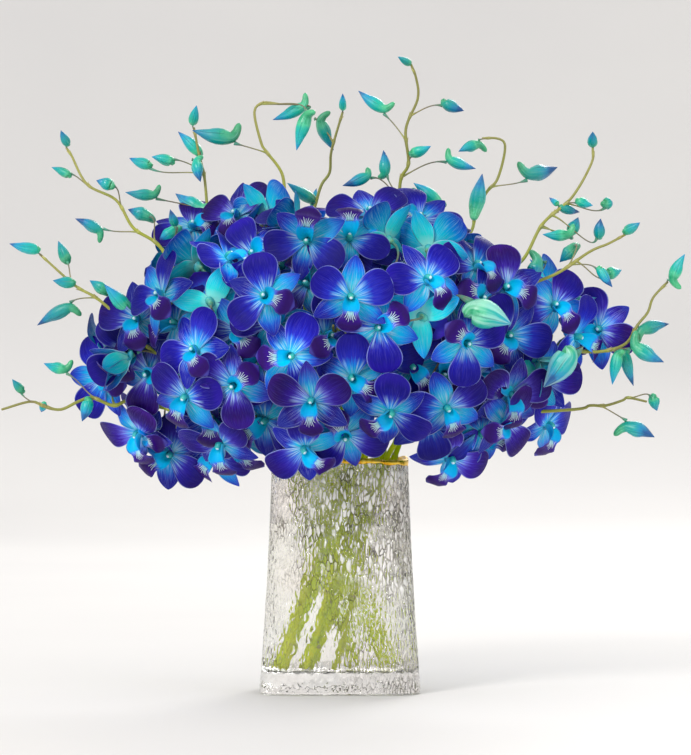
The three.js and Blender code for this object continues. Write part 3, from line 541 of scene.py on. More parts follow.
def add_scale(shell, stem, length, way, rng):
    """A small dry scale that hugs the stem under a node: a bent triangle, wrapped half the way round it."""
    root, along = point_at(stem, length - 1.2), stem_way(stem, length)
    out = square_to(way, along)
    across = np.cross(along, out)
    radius = float(np.interp(length, stem["lengths"], stem["radii"]))
    v, u = np.meshgrid(np.linspace(0, 1, 5), np.linspace(-1, 1, 5), indexing="ij")
    turn = u * mix(1.5, 0.25, v) * (1 - 0.4 * v)
    away = radius * 1.12 + 0.9 * v ** 2
    middle = (root + along * (v * 3.6)[..., None] + out * (away * np.cos(turn))[..., None]
              + across * (away * np.sin(turn))[..., None])
    rings = sheet_rings(middle[:, ::-1], np.full(v.shape, 0.3))
    shell.tube(rings, middle[0, 2] - along * 0.1, middle[-1, 2] + along * 0.3, np.linspace(0, 1, 9),
               capped(np.linspace(0, 1, 5)), [rng.random(), rng.random(), 0, 0], SCALE_LOOK)


def add_stem(shell, stem, rng):
    """A stem as one rod that thins to its tip and swells at each node: radius x (1 + NODE_SWELL exp(-(s/1.7)^2)),
    with s the length from the node."""
    lengths, mouth = stem["lengths"], stem["mouth"]
    nodes = np.array(sorted(stem["nodes"]))
    swell = np.exp(-((lengths[:, None] - nodes[None]) / 1.7) ** 2).max(1)
    radii = stem["radii"] * (1 + NODE_SWELL * swell)
    radii[0] *= 0.96
    rings = rings_round(stem["path"], radii, STEM_SIDES, [0.13, 0.97, 0.19])
    tint = np.empty((len(lengths), STEM_SIDES, 4))
    tint[..., 0], tint[..., 1] = rng.random(), rng.random()
    tint[..., 2] = swell[:, None]
    tint[..., 3] = smooth((lengths - mouth) / (lengths[-1] - mouth))[:, None]
    shell.tube(rings, stem["path"][0], stem["path"][-1] + stem_way(stem, lengths[-1]) * 0.5,
               np.linspace(0, 1, STEM_SIDES + 1), capped(lengths, lengths[-1]) / 100, tint, STEM_LOOK)


# ---------------------------------------------------------------------------------------------------------
# Flowers.


def flower_frame(centre, yaw, pitch, roll, number):
    """A flower's centre and its three directions: facing (sin yaw cos pitch, -cos yaw cos pitch, sin pitch), its
    upper sepal's, which roll turns from upright, and its right."""
    facing = np.array([math.sin(yaw) * math.cos(pitch), -math.cos(yaw) * math.cos(pitch), math.sin(pitch)])
    level = square_to(np.array([0, 0, 1.0]), facing)
    right = np.cross(level, facing)
    upper = level * math.cos(roll) - right * math.sin(roll)
    cup = CUP[0] + CUP[1] * ((number * GOLDEN_TURN) % 1)
    return dict(centre=centre, facing=facing, upper=upper, right=np.cross(upper, facing), cup=cup, number=number,
                fold=0.0, lit=1.0)


def front_flower(row, number, fold=0.0):
    """A flower on the mass's front: depth = -front_depth sqrt(1 - aside^2 - aloft^2) + its layers. Its paint is
    darker the deeper it lies, as painted shade for the depths of the mass, unless it turns its back."""
    across, up, roll, layers, turn, tilt = row
    aside = across / MASS["half_width"]
    aloft = (up - MASS["height"]) / MASS["half_height"]
    depth = -MASS["front_depth"] * math.sqrt(max(0, 1 - aside ** 2 - aloft ** 2)) + layers * LAYER_DEPTH
    yaw, pitch = math.radians(TURN_AT_EDGE * aside + turn), math.radians(TILT_AT_EDGE * aloft + tilt)
    # lit darkens the paint of flowers deep in the mass: painted shade
    lit = 1 - INNER_SHADE * float(smooth((layers - 0.5) / 2.5)) * (abs(turn) < 90)
    return dict(flower_frame(seen(across, up, depth), yaw, pitch, math.radians(roll), number), fold=fold, lit=lit)


def back_flower(number):
    """A flower on the mass's back: heights rise evenly, and each stands a golden turn further round than the last.
    Every third one lies a layer deeper."""
    aloft = mix(*BACK_HEIGHTS, (number + 0.5) / BACK_FLOWER_COUNT)
    around = math.radians(mix(BACK_EDGE, 180 - BACK_EDGE, (number * GOLDEN_TURN) % 1))
    level = math.sqrt(1 - aloft ** 2)
    shrink = 1 - (LAYER_DEPTH if number % 3 == 0 else 0) / MASS["back_depth"]
    place = np.array([MASS["half_width"] * level * math.cos(around) * shrink,
                      MASS["back_depth"] * level * math.sin(around) * shrink,
                      MASS["height"] + MASS["half_height"] * aloft * shrink])
    return flower_frame(place, math.pi / 2 + around, math.radians(TILT_AT_EDGE * aloft),
                        math.radians(BACK_ROLL_STEP * number), NUMBER_FROM["back"] + number)


PETAL_LOOK, SEPAL_LOOK, LIP_LOOK, COLUMN_LOOK, HAIR_LOOK, CHIN_LOOK = range(6)
PETAL = dict(reach=33.5, half=13.2, rise=1.15, fall=0.46, claw=2.0, bow=2.6, droop=0.0, lift=0.2, edge=0.5,
             look=PETAL_LOOK)
SEPAL = dict(reach=31.0, half=8.8, rise=0.8, fall=0.78, claw=2.6, bow=0.3, droop=-4.0, lift=-0.9, edge=0.6,
             look=SEPAL_LOOK)
LOBES = [(0, SEPAL), (124, SEPAL), (236, SEPAL), (62, PETAL), (298, PETAL)]  # (angle from the upper sepal, kind)
ACROSS = np.array([-1, -0.93, -0.78, -0.52, -0.22, 0, 0.22, 0.52, 0.78, 0.93, 1])


def round_sheet(u):
    """u, from -1 to 1 over a sheet's front, as u round its ring: 0 to 1 over the front and 1 to 0 over the back."""
    return np.concatenate([u, u[-2::-1]]) / 2 + 0.5


def sheet_tint(rows, n, hue, light, tip_rows):
    """A sheet's tint: its hue and light, 1 along its edges and 0.8 on the rows at its tip, and 1 on its back."""
    tint = np.zeros((rows, 2 * n, 4))
    tint[..., 0], tint[..., 1] = hue, light
    tint[:, [0, n], 2] = 1
    tint[-tip_rows:, :, 2] = 0.8
    tint[:, n + 1:, 3] = 1
    return tint


def add_lobe(shell, place, angle, kind, cup, tint, rng):
    """A petal or sepal as a thin closed sheet.

    Half width: half x v^rise (1 - v)^fall, scaled to a peak of 1, plus a claw that fades out. Height: cup v +
    droop v^2 + bow sin(pi v^1.5), plus edge u^2, a ruffle near the margin, a groove down the middle and a twist."""
    rows, n = 17, len(ACROSS) - 1
    v = (1 - (1 - np.linspace(0, 1, rows)) ** 1.55) * 0.999
    p, q = kind["rise"] * rng.uniform(0.92, 1.1), kind["fall"] * rng.uniform(0.93, 1.12)
    peak = (p / (p + q)) ** p * (q / (p + q)) ** q
    half = kind["half"] * rng.uniform(0.93, 1.05) * v ** p * (1 - v) ** q / peak + kind["claw"] * (1 - v) ** 5 + 0.12
    v, u = np.meshgrid(v, ACROSS, indexing="ij")
    half = half[:, None]
    reach = kind["reach"] * rng.uniform(0.96, 1.03)
    body = np.sin(np.pi * np.clip(v, 0, 1) ** 1.3)
    along = 0.6 + (reach - 0.6) * v - 0.05 * reach * u ** 2 * body
    edge = kind["edge"] + rng.uniform(-1.6, 1.9)
    phase, wave = rng.uniform(0, 2 * np.pi, 3), rng.uniform(0.25, 0.75)
    height = (kind["lift"] + (cup + rng.uniform(-1.8, 1.8)) * v + kind["droop"] * rng.uniform(0.4, 1.4) * v ** 2
              + kind["bow"] * rng.uniform(0.4, 1.5) * np.sin(np.pi * v ** 1.5) + edge * u ** 2 * body
              + wave * (np.sin(2 * np.pi * 1.7 * v + phase[0]) * np.maximum(u, 0) ** 3
                        + np.sin(2 * np.pi * 2.1 * v + phase[1]) * np.maximum(-u, 0) ** 3) * body
              - 0.5 * np.exp(-(u / 0.2) ** 2) * body)
    twist = math.radians(rng.uniform(-13, 13)) * v
    aside = half * u * np.cos(twist) + rng.uniform(-1.8, 1.8) * v ** 2
    height = height + half * u * np.sin(twist)
    rings = sheet_rings(place(along, angle, height, aside), 0.75 * (1 - u ** 2) ** 0.5 * (1 - 0.55 * v) + 0.05)
    shade = sheet_tint(rows, n, tint[0] + rng.uniform(-0.12, 0.12), tint[1] + rng.uniform(-0.1, 0.1), 1)
    shell.tube(rings, place(0.3, angle, kind["lift"], 0),
               place(reach + 0.15, angle, height[-1, n // 2], aside[-1, n // 2]),
               round_sheet(ACROSS), capped(v[:, 0]), shade, kind["look"])


LIP_LINE = np.array([[-1.2, -1.6], [-2.6, 2.0], [-4.8, 5.6], [-8.2, 8.6], [-12.2, 10.2], [-16.8, 9.9], [-21.2, 7.4],
                     [-25.0, 2.6]])
LIP_HALF = ([0, 0.12, 0.26, 0.38, 0.45, 0.51, 0.57, 0.67, 0.78, 0.88, 0.95, 1],
            [3.4, 6.2, 9.4, 10.4, 8.8, 6.4, 7.0, 9.6, 10.2, 8.2, 4.9, 0.6])
LIP_WRAP = ([0, 0.28, 0.4, 0.5, 0.6, 0.8, 1], [122, 104, 86, 50, 14, -12, -22])
HAIR_SPREADS = (-0.62, -0.36, -0.12, 0.14, 0.38, 0.64)  # how far aside the lip's pale hairs lie


def arc(half, wrap, u):
    """Points on an arc of half angle wrap and developed half width half, at u from -1 to 1: r sin(u wrap) aside and
    r (1 - cos(u wrap)) inwards, with r = half / wrap."""
    wrap = np.where(np.abs(wrap) < 0.02, 0.02, wrap)
    return half / wrap * np.sin(u * wrap), half / wrap * (1 - np.cos(u * wrap))


def add_lip(shell, place, cup, tint, rng):
    """The lip: a throat rolled round the column that opens into a hanging front lobe.

    Row v is an arc of half angle LIP_WRAP(v) and half width LIP_HALF(v) that opens towards the column. Its middle
    lies on LIP_LINE, [up from the flower's middle, height off its face]. The front lobe has a frill that grows as
    |u|^3 and a keel along its middle, and six pale hairs stand on it."""
    rows, n = 23, 12
    v = np.linspace(0, 1, rows)
    fine = np.linspace(0, 1, 200)
    centre = follow(v, fine, eased(follow(fine, np.linspace(0, 1, len(LIP_LINE)), LIP_LINE), 25))
    way = unit(np.gradient(centre, axis=0))
    inward = np.stack([way[:, 1], -way[:, 0]], -1)
    u = np.linspace(-1, 1, n + 1)[None]
    half = np.interp(v, *LIP_HALF)[:, None] * rng.uniform(0.94, 1.06)
    wrap = np.radians(np.interp(v, *LIP_WRAP) * rng.uniform(0.92, 1.05))[:, None]
    aside, inner = arc(half, wrap, u)
    v2 = v[:, None]
    front = smooth((v2 - 0.5) / 0.2)
    frill = 0.55 * np.abs(u) ** 3 * np.sin(2 * np.pi * 4.2 * v2 + rng.uniform(0, 6)) * front
    frill = frill * np.sin(np.pi * v2) ** 0.5
    keel = 0.45 * np.exp(-(u / 0.16) ** 2) * np.exp(-((v2 - 0.5) / 0.16) ** 2)
    up = centre[:, :1] + inner * inward[:, :1] + (frill + keel) * inward[:, :1]
    height = centre[:, 1:] + inner * inward[:, 1:] + (frill + keel) * inward[:, 1:] + cup * (-centre[:, :1] / 25)
    middle = place(-up, 180, height, aside)
    rings = sheet_rings(middle, (0.6 * (1 - u ** 4) * (1 - 0.5 * v2) + 0.06) * np.ones_like(aside))
    shade = sheet_tint(rows, n, tint[0], tint[1] + rng.uniform(-0.1, 0.1), 2)
    shell.tube(rings, middle[0].mean(0), middle[-1].mean(0) + 0.1 * (middle[-1, n // 2] - middle[-2, n // 2]),
               round_sheet(u[0]), capped(v), shade, LIP_LOOK)

    t = np.linspace(0, 1, 6)
    for spread in HAIR_SPREADS:
        at = mix(0.46, 0.69 - 0.1 * abs(spread) + rng.uniform(-0.03, 0.03), t)
        inside, outward = follow(at, v, centre), follow(at, v, inward)
        aside, inner = arc(*follow(at, v, np.hstack([half, wrap])).T, mix(0.3, 0.62, t) * spread * 1.35)
        rise = inner + 0.35 + 0.5 * np.sin(np.pi * t)
        path = place(-(inside[:, 0] + rise * outward[:, 0]), 180,
                     inside[:, 1] + rise * outward[:, 1] + cup * (-inside[:, 0] / 25), aside)
        add_rod(shell, path, t, 0.42 * (1 - 0.75 * t) + 0.03, 5, place.facing, [*tint, 0, 0], HAIR_LOOK)


class Place:
    """Turns a flower's own measures (distance out, angle from the upper sepal, height, aside) into points.

    A half-open flower's fold turns what lies over 4 mm out up by that angle."""

    def __init__(self, flower):
        self.centre, self.facing = flower["centre"], flower["facing"]
        self.upper, self.right = flower["upper"], flower["right"]
        self.fold = flower["fold"]

    def __call__(self, radius, angle, height, aside):
        a = math.radians(angle)
        along = self.upper * math.cos(a) + self.right * math.sin(a)
        across = self.right * math.cos(a) - self.upper * math.sin(a)
        radius, height, aside = np.broadcast_arrays(radius, height, aside)
        if self.fold:
            c, s = math.cos(self.fold), math.sin(self.fold)
            radius, height = radius * c - height * s * (radius > 4), radius * s + height * c
        return (self.centre + radius[..., None] * along + aside[..., None] * across
                + height[..., None] * self.facing)


def add_flower(shell, flower, rng):
    """One open flower: three sepals, two petals over them, the lip, the column with its cap, and the chin."""
    nod, sway = np.radians(rng.uniform(-9, 9, 2))
    facing = unit(flower["facing"] + math.tan(nod) * flower["upper"] + math.tan(sway) * flower["right"])
    upper = square_to(flower["upper"], facing)
    flower = dict(flower, facing=facing, upper=upper, right=np.cross(upper, facing))
    place, cup = Place(flower), flower["cup"]
    # the second number is a random tone times lit, so it carries painted shade for flowers deep in the mass
    tint = (rng.random(), rng.random() * flower["lit"])
    for angle, kind in LOBES:
        add_lobe(shell, place, angle + rng.uniform(-5, 5), kind, cup, tint, rng)
    add_lip(shell, place, cup, tint, rng)

    shade, sides = [*tint, 0, 0], 12
    t = np.linspace(0, 1, 8)
    path = place(0.3 + 2.6 * np.sin(np.pi * t * 0.8) - 1.2 * t, 0, -0.6 + 6.8 * t, 0)
    add_rod(shell, path, t, np.interp(t, [0, 0.3, 0.75, 1], [3.0, 2.5, 2.2, 1.8]), sides, upper, shade, COLUMN_LOOK,
            1 + 0.12 * np.cos(2 * (circle(sides) + 1.57)), end=path[-1] + 0.5 * facing)
    t = np.linspace(0.02, 0.98, 7)
    path = path[-1] + 0.15 * upper + (-1.0 + 2.2 * t)[:, None] * unit(facing - 0.55 * upper)
    add_rod(shell, path, t, 1.35 * np.sqrt(1 - (2 * t - 1) ** 2), 10, upper, shade, HAIR_LOOK)

    t = np.linspace(0, 1, 9)
    chin = 1.25 * np.maximum(0, -np.cos(circle(sides))) ** 2 * np.exp(-((t[:, None] - 0.45) / 0.26) ** 2)
    radii = np.interp(t, [0, 0.25, 0.6, 1], [3.6, 3.3, 2.0, 1.35])
    add_rod(shell, place(0, 0, 0.6 - (OVARY_LENGTH + 0.6) * t, 0), t, radii, sides, upper, shade, CHIN_LOOK,
            1 + chin, 1.6 * chin)


# ---------------------------------------------------------------------------------------------------------
# The vase, its gilding and the water.


def rim_wave(angle):
    """How far the rim rises at an angle: RIM_WAVE x (0.7 sin(3 a + 0.6) + 0.3 sin(7 a))."""
    return RIM_WAVE * (0.7 * np.sin(3 * angle + 0.6) + 0.3 * np.sin(7 * angle))


def section(height, inset, angle):
    """The vase's outline at a height, moved in by inset: |x / a|^n + |y / b|^n = 1, at the given angles."""
    t = height / VASE_HEIGHT
    drawn = inset + WAIST * np.sin(np.pi * np.clip(t, 0, 1))
    power = 2 / mix(*CORNER_POWER, t)
    x, y = mix(FOOT[0], RIM[0], t) - drawn, mix(FOOT[1], RIM[1], t) - drawn
    return np.stack([x * np.sign(np.cos(angle)) * np.abs(np.cos(angle)) ** power,
                     y * np.sign(np.sin(angle)) * np.abs(np.sin(angle)) ** power], -1)


def sections(height, inset, angle):
    """A ring for each pair of height and inset: the section there, level."""
    flat = np.stack([section(h, i, angle) for h, i in zip(height, inset)])
    return np.concatenate([flat, np.broadcast_to(height[:, None, None], (*flat.shape[:2], 1))], -1)


def even_angles(count):
    """Angles that cut the outline near half height into equal lengths."""
    dense = np.linspace(0, 2 * np.pi, 200001)
    outline = section(80.0, 0.0, dense)
    run = np.concatenate([[0], np.cumsum(np.linalg.norm(np.diff(outline, axis=0), axis=1))])
    return np.interp(np.arange(count) / count * run[-1], run, dense)


def hammered(around, up, rng):
    """Depth of the hammering: 0 in the seams between cells and 1 on their crowns.

    One point is scattered in each cell of a grid that wraps round the vase, whose lines waver and whose cells are
    between two and three times as tall as wide. With d1 and d2 the distances from a place to its nearest and
    second nearest point, in cells, its depth is smooth((d2 - d1) / 0.42) x (1 - 0.45 d1^2)."""
    cells, tall, rows = 96, 9.0, 26
    jitter = rng.uniform(0.12, 0.88, (rows, cells, 2))
    turn = 2 * np.pi * around
    x = around * cells + 0.45 * np.sin(up / 5.1 + turn * 7) + 0.3 * np.sin(up / 2.3 + turn * 19)
    y = up / tall + 3 + 0.35 * np.sin(turn * 31 + up / 14)
    i, j = np.floor(x).astype(int), np.floor(y).astype(int)
    best = np.full(x.shape, 9.0)
    second = best.copy()
    for dj in (-1, 0, 1):
        for di in (-1, 0, 1):
            near = jitter[(j + dj) % rows, (i + di) % cells]
            away = np.hypot(x - (i + di + near[..., 0]), y - (j + dj + near[..., 1]))
            second = np.minimum(second, np.maximum(best, away))
            best = np.minimum(best, away)
    seam = smooth((second - best) / 0.42)
    return seam * (1 - 0.45 * np.clip(best, 0, 1) ** 2)


def vase_tint(right, u, z):
    """The vase's outside: share of painted shade in its seams, a painted dark wavy line over the floor, depth of the
    hammering and painted shade.

    right is x / 50 mm. The painted shade in the seams grows upwards from z = 40 and to the right, and more so round
    the thick floor. The hammering is deepest above z = 60 and faint at the left; the painted shade lies high on the
    right."""
    turn = 2 * np.pi * u
    drift = 0.3 * np.sin(turn * 5 + z / 19) + 0.25 * np.sin(turn * 11 - z / 8 + 1)
    # painted shade in the seams
    dark = np.clip(0.25 + 0.5 * smooth((z - 40) / 70) + 0.35 * smooth(right * 2 - 0.9) + drift, 0.1, 1)
    dark *= smooth((z - FLOOR_THICKNESS) / 4)
    dark += smooth((FLOOR_THICKNESS - z) / 3) * np.clip(0.25 + 0.8 * right, 0.1, 1)
    ledge = FLOOR_THICKNESS + 0.8 + 0.7 * np.sin(turn * 37) + 0.5 * np.sin(turn * 61 + 1)
    # painted shade: a dark wavy line over the floor
    line = np.exp(-((z - ledge) / 0.75) ** 2) * (0.55 + 0.45 * np.sin(turn * 29))
    relief = 0.3 + 0.7 * smooth((z - 60) / 50) * mix(0.3, 1, smooth((right + 0.95) / 0.5)) + 0.4 * right
    shade = smooth((right - 0.7) / 0.3) * smooth((z - 70) / 60)
    return np.stack([np.clip(dark, 0, 1), line, np.clip(relief, 0.22, 1), shade], -1)


def vase_shell(rng):
    """The vase from the middle of its foot, up its hammered outside, over the rim and down to its floor.

    Its upper 60 mm rise and dip with the rim. The outside moves out by 0.6 (hammered - 0.55) + 0.3 swell, with
    swell a slow product of sines, and both calm down at the foot and the rim. The inside ripples by 0.16 mm and
    the floor by 0.35 mm."""
    columns, inside_rows = 420, 46
    angle = even_angles(columns)
    around = np.arange(columns) / columns
    outer = np.linspace(2.2, VASE_HEIGHT - 1.5, 172)
    height = np.concatenate([[0.9, 0.5, 0, 0, 0.35, 1.1], outer, VASE_HEIGHT + np.array([-0.7, -0.2, 0, -0.2, -0.7]),
                             np.linspace(VASE_HEIGHT - 1.6, FLOOR_THICKNESS + 7, inside_rows),
                             FLOOR_THICKNESS + np.array([4.2, 2.1, 0.8, 0.2, 0, 0])])
    inset = np.concatenate([[34, 16, 7, 1.6, 0.6, 0.15], 0 * outer, [0.25, 0.8, 1.8, 2.8, 3.35],
                            np.full(inside_rows, GLASS_WALL), GLASS_WALL + np.array([0.3, 1.1, 2.6, 5, 14, 30])])
    rings = sections(height, inset, angle)
    rings[..., 2] += smooth((height - VASE_HEIGHT + 60) / 60)[:, None] * rim_wave(angle)[None]
    tangent = unit(np.roll(rings, -1, 1)[..., :2] - np.roll(rings, 1, 1)[..., :2])
    outward = np.stack([tangent[..., 1], -tangent[..., 0]], -1)

    rows = slice(5, 6 + len(outer))
    u, z = np.meshgrid(around, height[rows], indexing="xy")
    depth = hammered(u, z, rng) - 0.55
    tint = np.zeros((*rings.shape[:2], 4))
    tint[rows] = vase_tint(rings[rows, :, 0] / 50, u, z)
    calm = smooth((z - 1) / 3) * smooth((VASE_HEIGHT - 1 - z) / 5) * mix(0.7, 1, smooth((z - 14) / 8))
    swell = 0.5 * np.sin(2 * np.pi * u * 13 + z / 17) * np.sin(z / 23 + 1) * np.sin(2 * np.pi * u * 5)
    rings[rows, :, :2] += ((0.6 * depth + 0.3 * swell) * calm)[..., None] * outward[rows]

    rows = slice(11 + len(outer), 16 + len(outer) + inside_rows)
    u, z = np.meshgrid(around, height[rows], indexing="xy")
    ripple = 0.16 * np.sin(2 * np.pi * u * 23 + z / 6) * np.sin(z / 9 + 2 * np.pi * u * 4)
    rings[rows, :, :2] += (ripple * smooth((VASE_HEIGHT - z) / 12))[..., None] * outward[rows]
    floor = (height > FLOOR_THICKNESS - 1) & (inset > GLASS_WALL + 1)
    wave = 0.35 * np.sin(rings[..., 0] / 3.1 + 1.2 * np.sin(rings[..., 1] / 4)) * np.sin(rings[..., 1] / 2.7)
    rings[..., 2] += np.where(floor[:, None], wave * smooth(inset / 12)[:, None], 0)

    along = np.concatenate([[0], np.cumsum(np.abs(np.diff(height)) + 0.3 * np.abs(np.diff(inset)))]) / 100
    shell = Shell()
    shell.tube(rings, [0, 0, 0.9], [0, 0, FLOOR_THICKNESS], np.append(around, 1), capped(along, along[-1]), tint)
    return shell


OUT_HEM, CROWN, IN_HEM = range(3)
# The gilding's section: (inset, rise, part). A rise below 0 is a share of how far that hem hangs down.
GILT_PROFILE = [
    (0.12, -1.0, OUT_HEM), (-0.42, -1.0, OUT_HEM), (-0.55, -0.55, OUT_HEM), (-0.5, 0.1, CROWN), (-0.35, 0.75, CROWN),
    (0.3, 1.35, CROWN), (1.2, 1.75, CROWN), (2.1, 1.8, CROWN), (3.0, 1.45, CROWN), (3.75, 0.8, CROWN),
    (4.0, 0.1, CROWN), (4.05, -0.6, IN_HEM), (3.95, -1.0, IN_HEM), (3.45, -1.0, IN_HEM), (3.3, -0.3, IN_HEM),
    (2.4, 0.15, CROWN), (1.2, 0.15, CROWN), (0.3, -0.3, OUT_HEM)]


def gilt_shell(rng):
    """The gilding: a thin rounded coat over the rim whose lower edge runs down unevenly, like brushed lustre.

    The hem hangs 2.3 mm outside and 1.3 mm inside, plus a sum of five sines round the rim."""
    columns = 300
    angle = even_angles(columns)
    around = np.arange(columns) / columns
    run = sum(a * np.sin(2 * np.pi * around * k + p) for a, k, p in
              zip((0.5, 0.45, 0.35, 0.3, 0.22), (4, 9, 17, 29, 43), rng.uniform(0, 6, 5)))
    hang_out, hang_in = 2.3 + run, 1.3 + 0.5 * np.roll(run, 40)
    lump = np.sin(2 * np.pi * around * 23)
    strips = []
    for inset, rise, part in GILT_PROFILE:
        drop = np.where(rise < 0, -rise * (hang_in if part == IN_HEM else hang_out), 0)
        bumps = 0.12 * np.sin(2 * np.pi * around * 61 + inset) * lump
        z = VASE_HEIGHT + GAP + np.maximum(rise, 0) - drop + rim_wave(angle) + bumps
        strips.append(np.concatenate([section(VASE_HEIGHT, inset, angle), z[:, None]], -1))
    shell = Shell()
    shell.band(np.stack(strips, 1), np.linspace(0, 1, len(GILT_PROFILE) + 1), np.linspace(0, 1, columns + 1), [0] * 4)
    return shell


def water_shell():
    """The water: it fills the inside to its level, a hair into the wall, and climbs a little at the glass."""
    columns, lap, side_rows = 220, 0.25, 22
    height = np.concatenate([FLOOR_THICKNESS + np.array([-0.5, -0.5, -0.4, 0.3, 1.6, 4.0]),
                             np.linspace(FLOOR_THICKNESS + 7, WATER_LEVEL - 2, side_rows),
                             WATER_LEVEL + np.array([-0.6, 0.3, 0.55, 0.15, -0.2, -0.3, -0.3])])
    inset = GLASS_WALL - lap + np.concatenate([[30, 14, 5, 2.4, 0.9, 0.1], np.zeros(side_rows),
                                               [0, 0, 0.35, 0.9, 2.0, 9, 24]])
    shell = Shell()
    shell.tube(sections(height, inset, even_angles(columns)), [0, 0, FLOOR_THICKNESS - 0.5],
               [0, 0, WATER_LEVEL - 0.3], np.linspace(0, 1, columns + 1), capped(height, height[-1]) / 100, [0] * 4)
    return shell


# ---------------------------------------------------------------------------------------------------------
# Finishes.


class Finish:
    """One material being drawn, with short ways to add and join its nodes."""

    def __init__(self, name, **shader):
        self.look = bpy.data.materials.new(name)
        self.look.use_nodes = True
        self.tree = self.look.node_tree
        self.shader = self.tree.nodes["Principled BSDF"]
        for key, value in shader.items():
            self.shader.inputs[key.replace("_", " ")].default_value = value

    def add(self, kind, inputs=(), out=0, **settings):
        """Adds a node, sets or links its inputs, and gives one of its outputs."""
        node = self.tree.nodes.new("ShaderNode" + kind)
        for key, value in settings.items():
            setattr(node, key, value)
        for key, value in dict(inputs).items():
            if isinstance(value, bpy.types.NodeSocket):
                self.tree.links.new(value, node.inputs[key])
            else:
                node.inputs[key].default_value = value
        return node.outputs[out]

    def maths(self, operation, a, b=0.0, clamp=False):
        """a and b joined by an operation, and held to 0..1 if clamp is true."""
        return self.add("Math", {0: a, 1: b}, operation=operation, use_clamp=clamp)

    def times(self, a, b):
        """a x b."""
        return self.maths("MULTIPLY", a, b)

    def plus(self, a, b, clamp=False):
        """a + b."""
        return self.maths("ADD", a, b, clamp)

    def stirred(self, value, by, share, clamp=False):
        """value + share x (by - 0.5)."""
        return self.plus(value, self.times(self.maths("SUBTRACT", by, 0.5), share), clamp)

    def between(self, value, low, high, to_low=0.0, to_high=1.0):
        """value from low..high to to_low..to_high, eased at both ends and held beyond them."""
        return self.add("MapRange", {"Value": value, "From Min": low, "From Max": high, "To Min": to_low,
                                     "To Max": to_high}, interpolation_type="SMOOTHSTEP")

    def noise(self, vector, scale, detail=2.0, roughness=0.5, distortion=0.0):
        """Cloudy noise, about 0.5 in the middle."""
        return self.add("TexNoise", {"Vector": vector, "Scale": scale, "Detail": detail, "Roughness": roughness,
                                     "Distortion": distortion})

    def spots(self, scale, detail=2.0, roughness=0.5, distortion=0.0):
        """Noise in the piece's own space; scale is per metre."""
        return self.noise(self.place(), scale, detail, roughness, distortion)

    def threads(self, u, v, salt, across, along, detail=2.0, roughness=0.5):
        """Noise drawn out along v: at (across x u, along x v, salt)."""
        return self.noise(self.triple(self.times(u, across), self.times(v, along), salt), 1.0, detail, roughness)

    def blend(self, factor, a, b):
        """Colour a at factor 0 and b at 1."""
        return self.add("Mix", {0: factor, 6: a, 7: b}, out=2, data_type="RGBA")

    def ramp(self, value, stops):
        """Colours at places along 0 to 1."""
        out = self.add("ValToRGB", {"Fac": value})
        line = out.node.color_ramp
        line.elements[0].position, line.elements[0].color = stops[0][0], stops[0][1]
        line.elements[1].position, line.elements[1].color = stops[-1][0], stops[-1][1]
        for position, colour in stops[1:-1]:
            line.elements.new(position).color = colour
        return out

    def triple(self, x, y, z):
        """Three values as one vector."""
        return self.add("CombineXYZ", {0: x, 1: y, 2: z})

    def sheet(self):
        """u and v of the piece's own map."""
        split = self.add("SeparateXYZ", {0: self.add("UVMap", uv_map="sheet")}).node
        return split.outputs[0], split.outputs[1]

    def tint(self):
        """The four numbers that each point carries."""
        carried = self.add("Attribute", attribute_name="tint").node
        split = self.add("SeparateColor", {0: carried.outputs["Color"]}).node
        return split.outputs[0], split.outputs[1], split.outputs[2], carried.outputs["Alpha"]

    def place(self):
        """The point in the piece's own space."""
        return self.add("TexCoord", out=3)

    def set(self, socket, value):
        """Feeds a value into an input of the shader."""
        self.tree.links.new(value, self.shader.inputs[socket])

    def paint(self, colour, value, hue=0.5):
        """The base colour, made brighter by value and turned by hue."""
        self.set("Base Color", self.add("HueSaturation", {"Color": colour, "Value": value, "Hue": hue}))

    def rough(self, by, low, high):
        """Roughness from low to high with a noise."""
        self.set("Roughness", self.between(by, 0.3, 0.7, low, high))

    def grained(self, height, scale, share):
        """A height with fine grain on it."""
        return self.plus(height, self.times(self.spots(scale), share))

    def bump(self, height, strength, distance):
        """Bends the surface's normal as a relief of that height would; distance is in metres."""
        self.set("Normal", self.add("Bump", {"Height": height, "Strength": strength, "Distance": distance}))


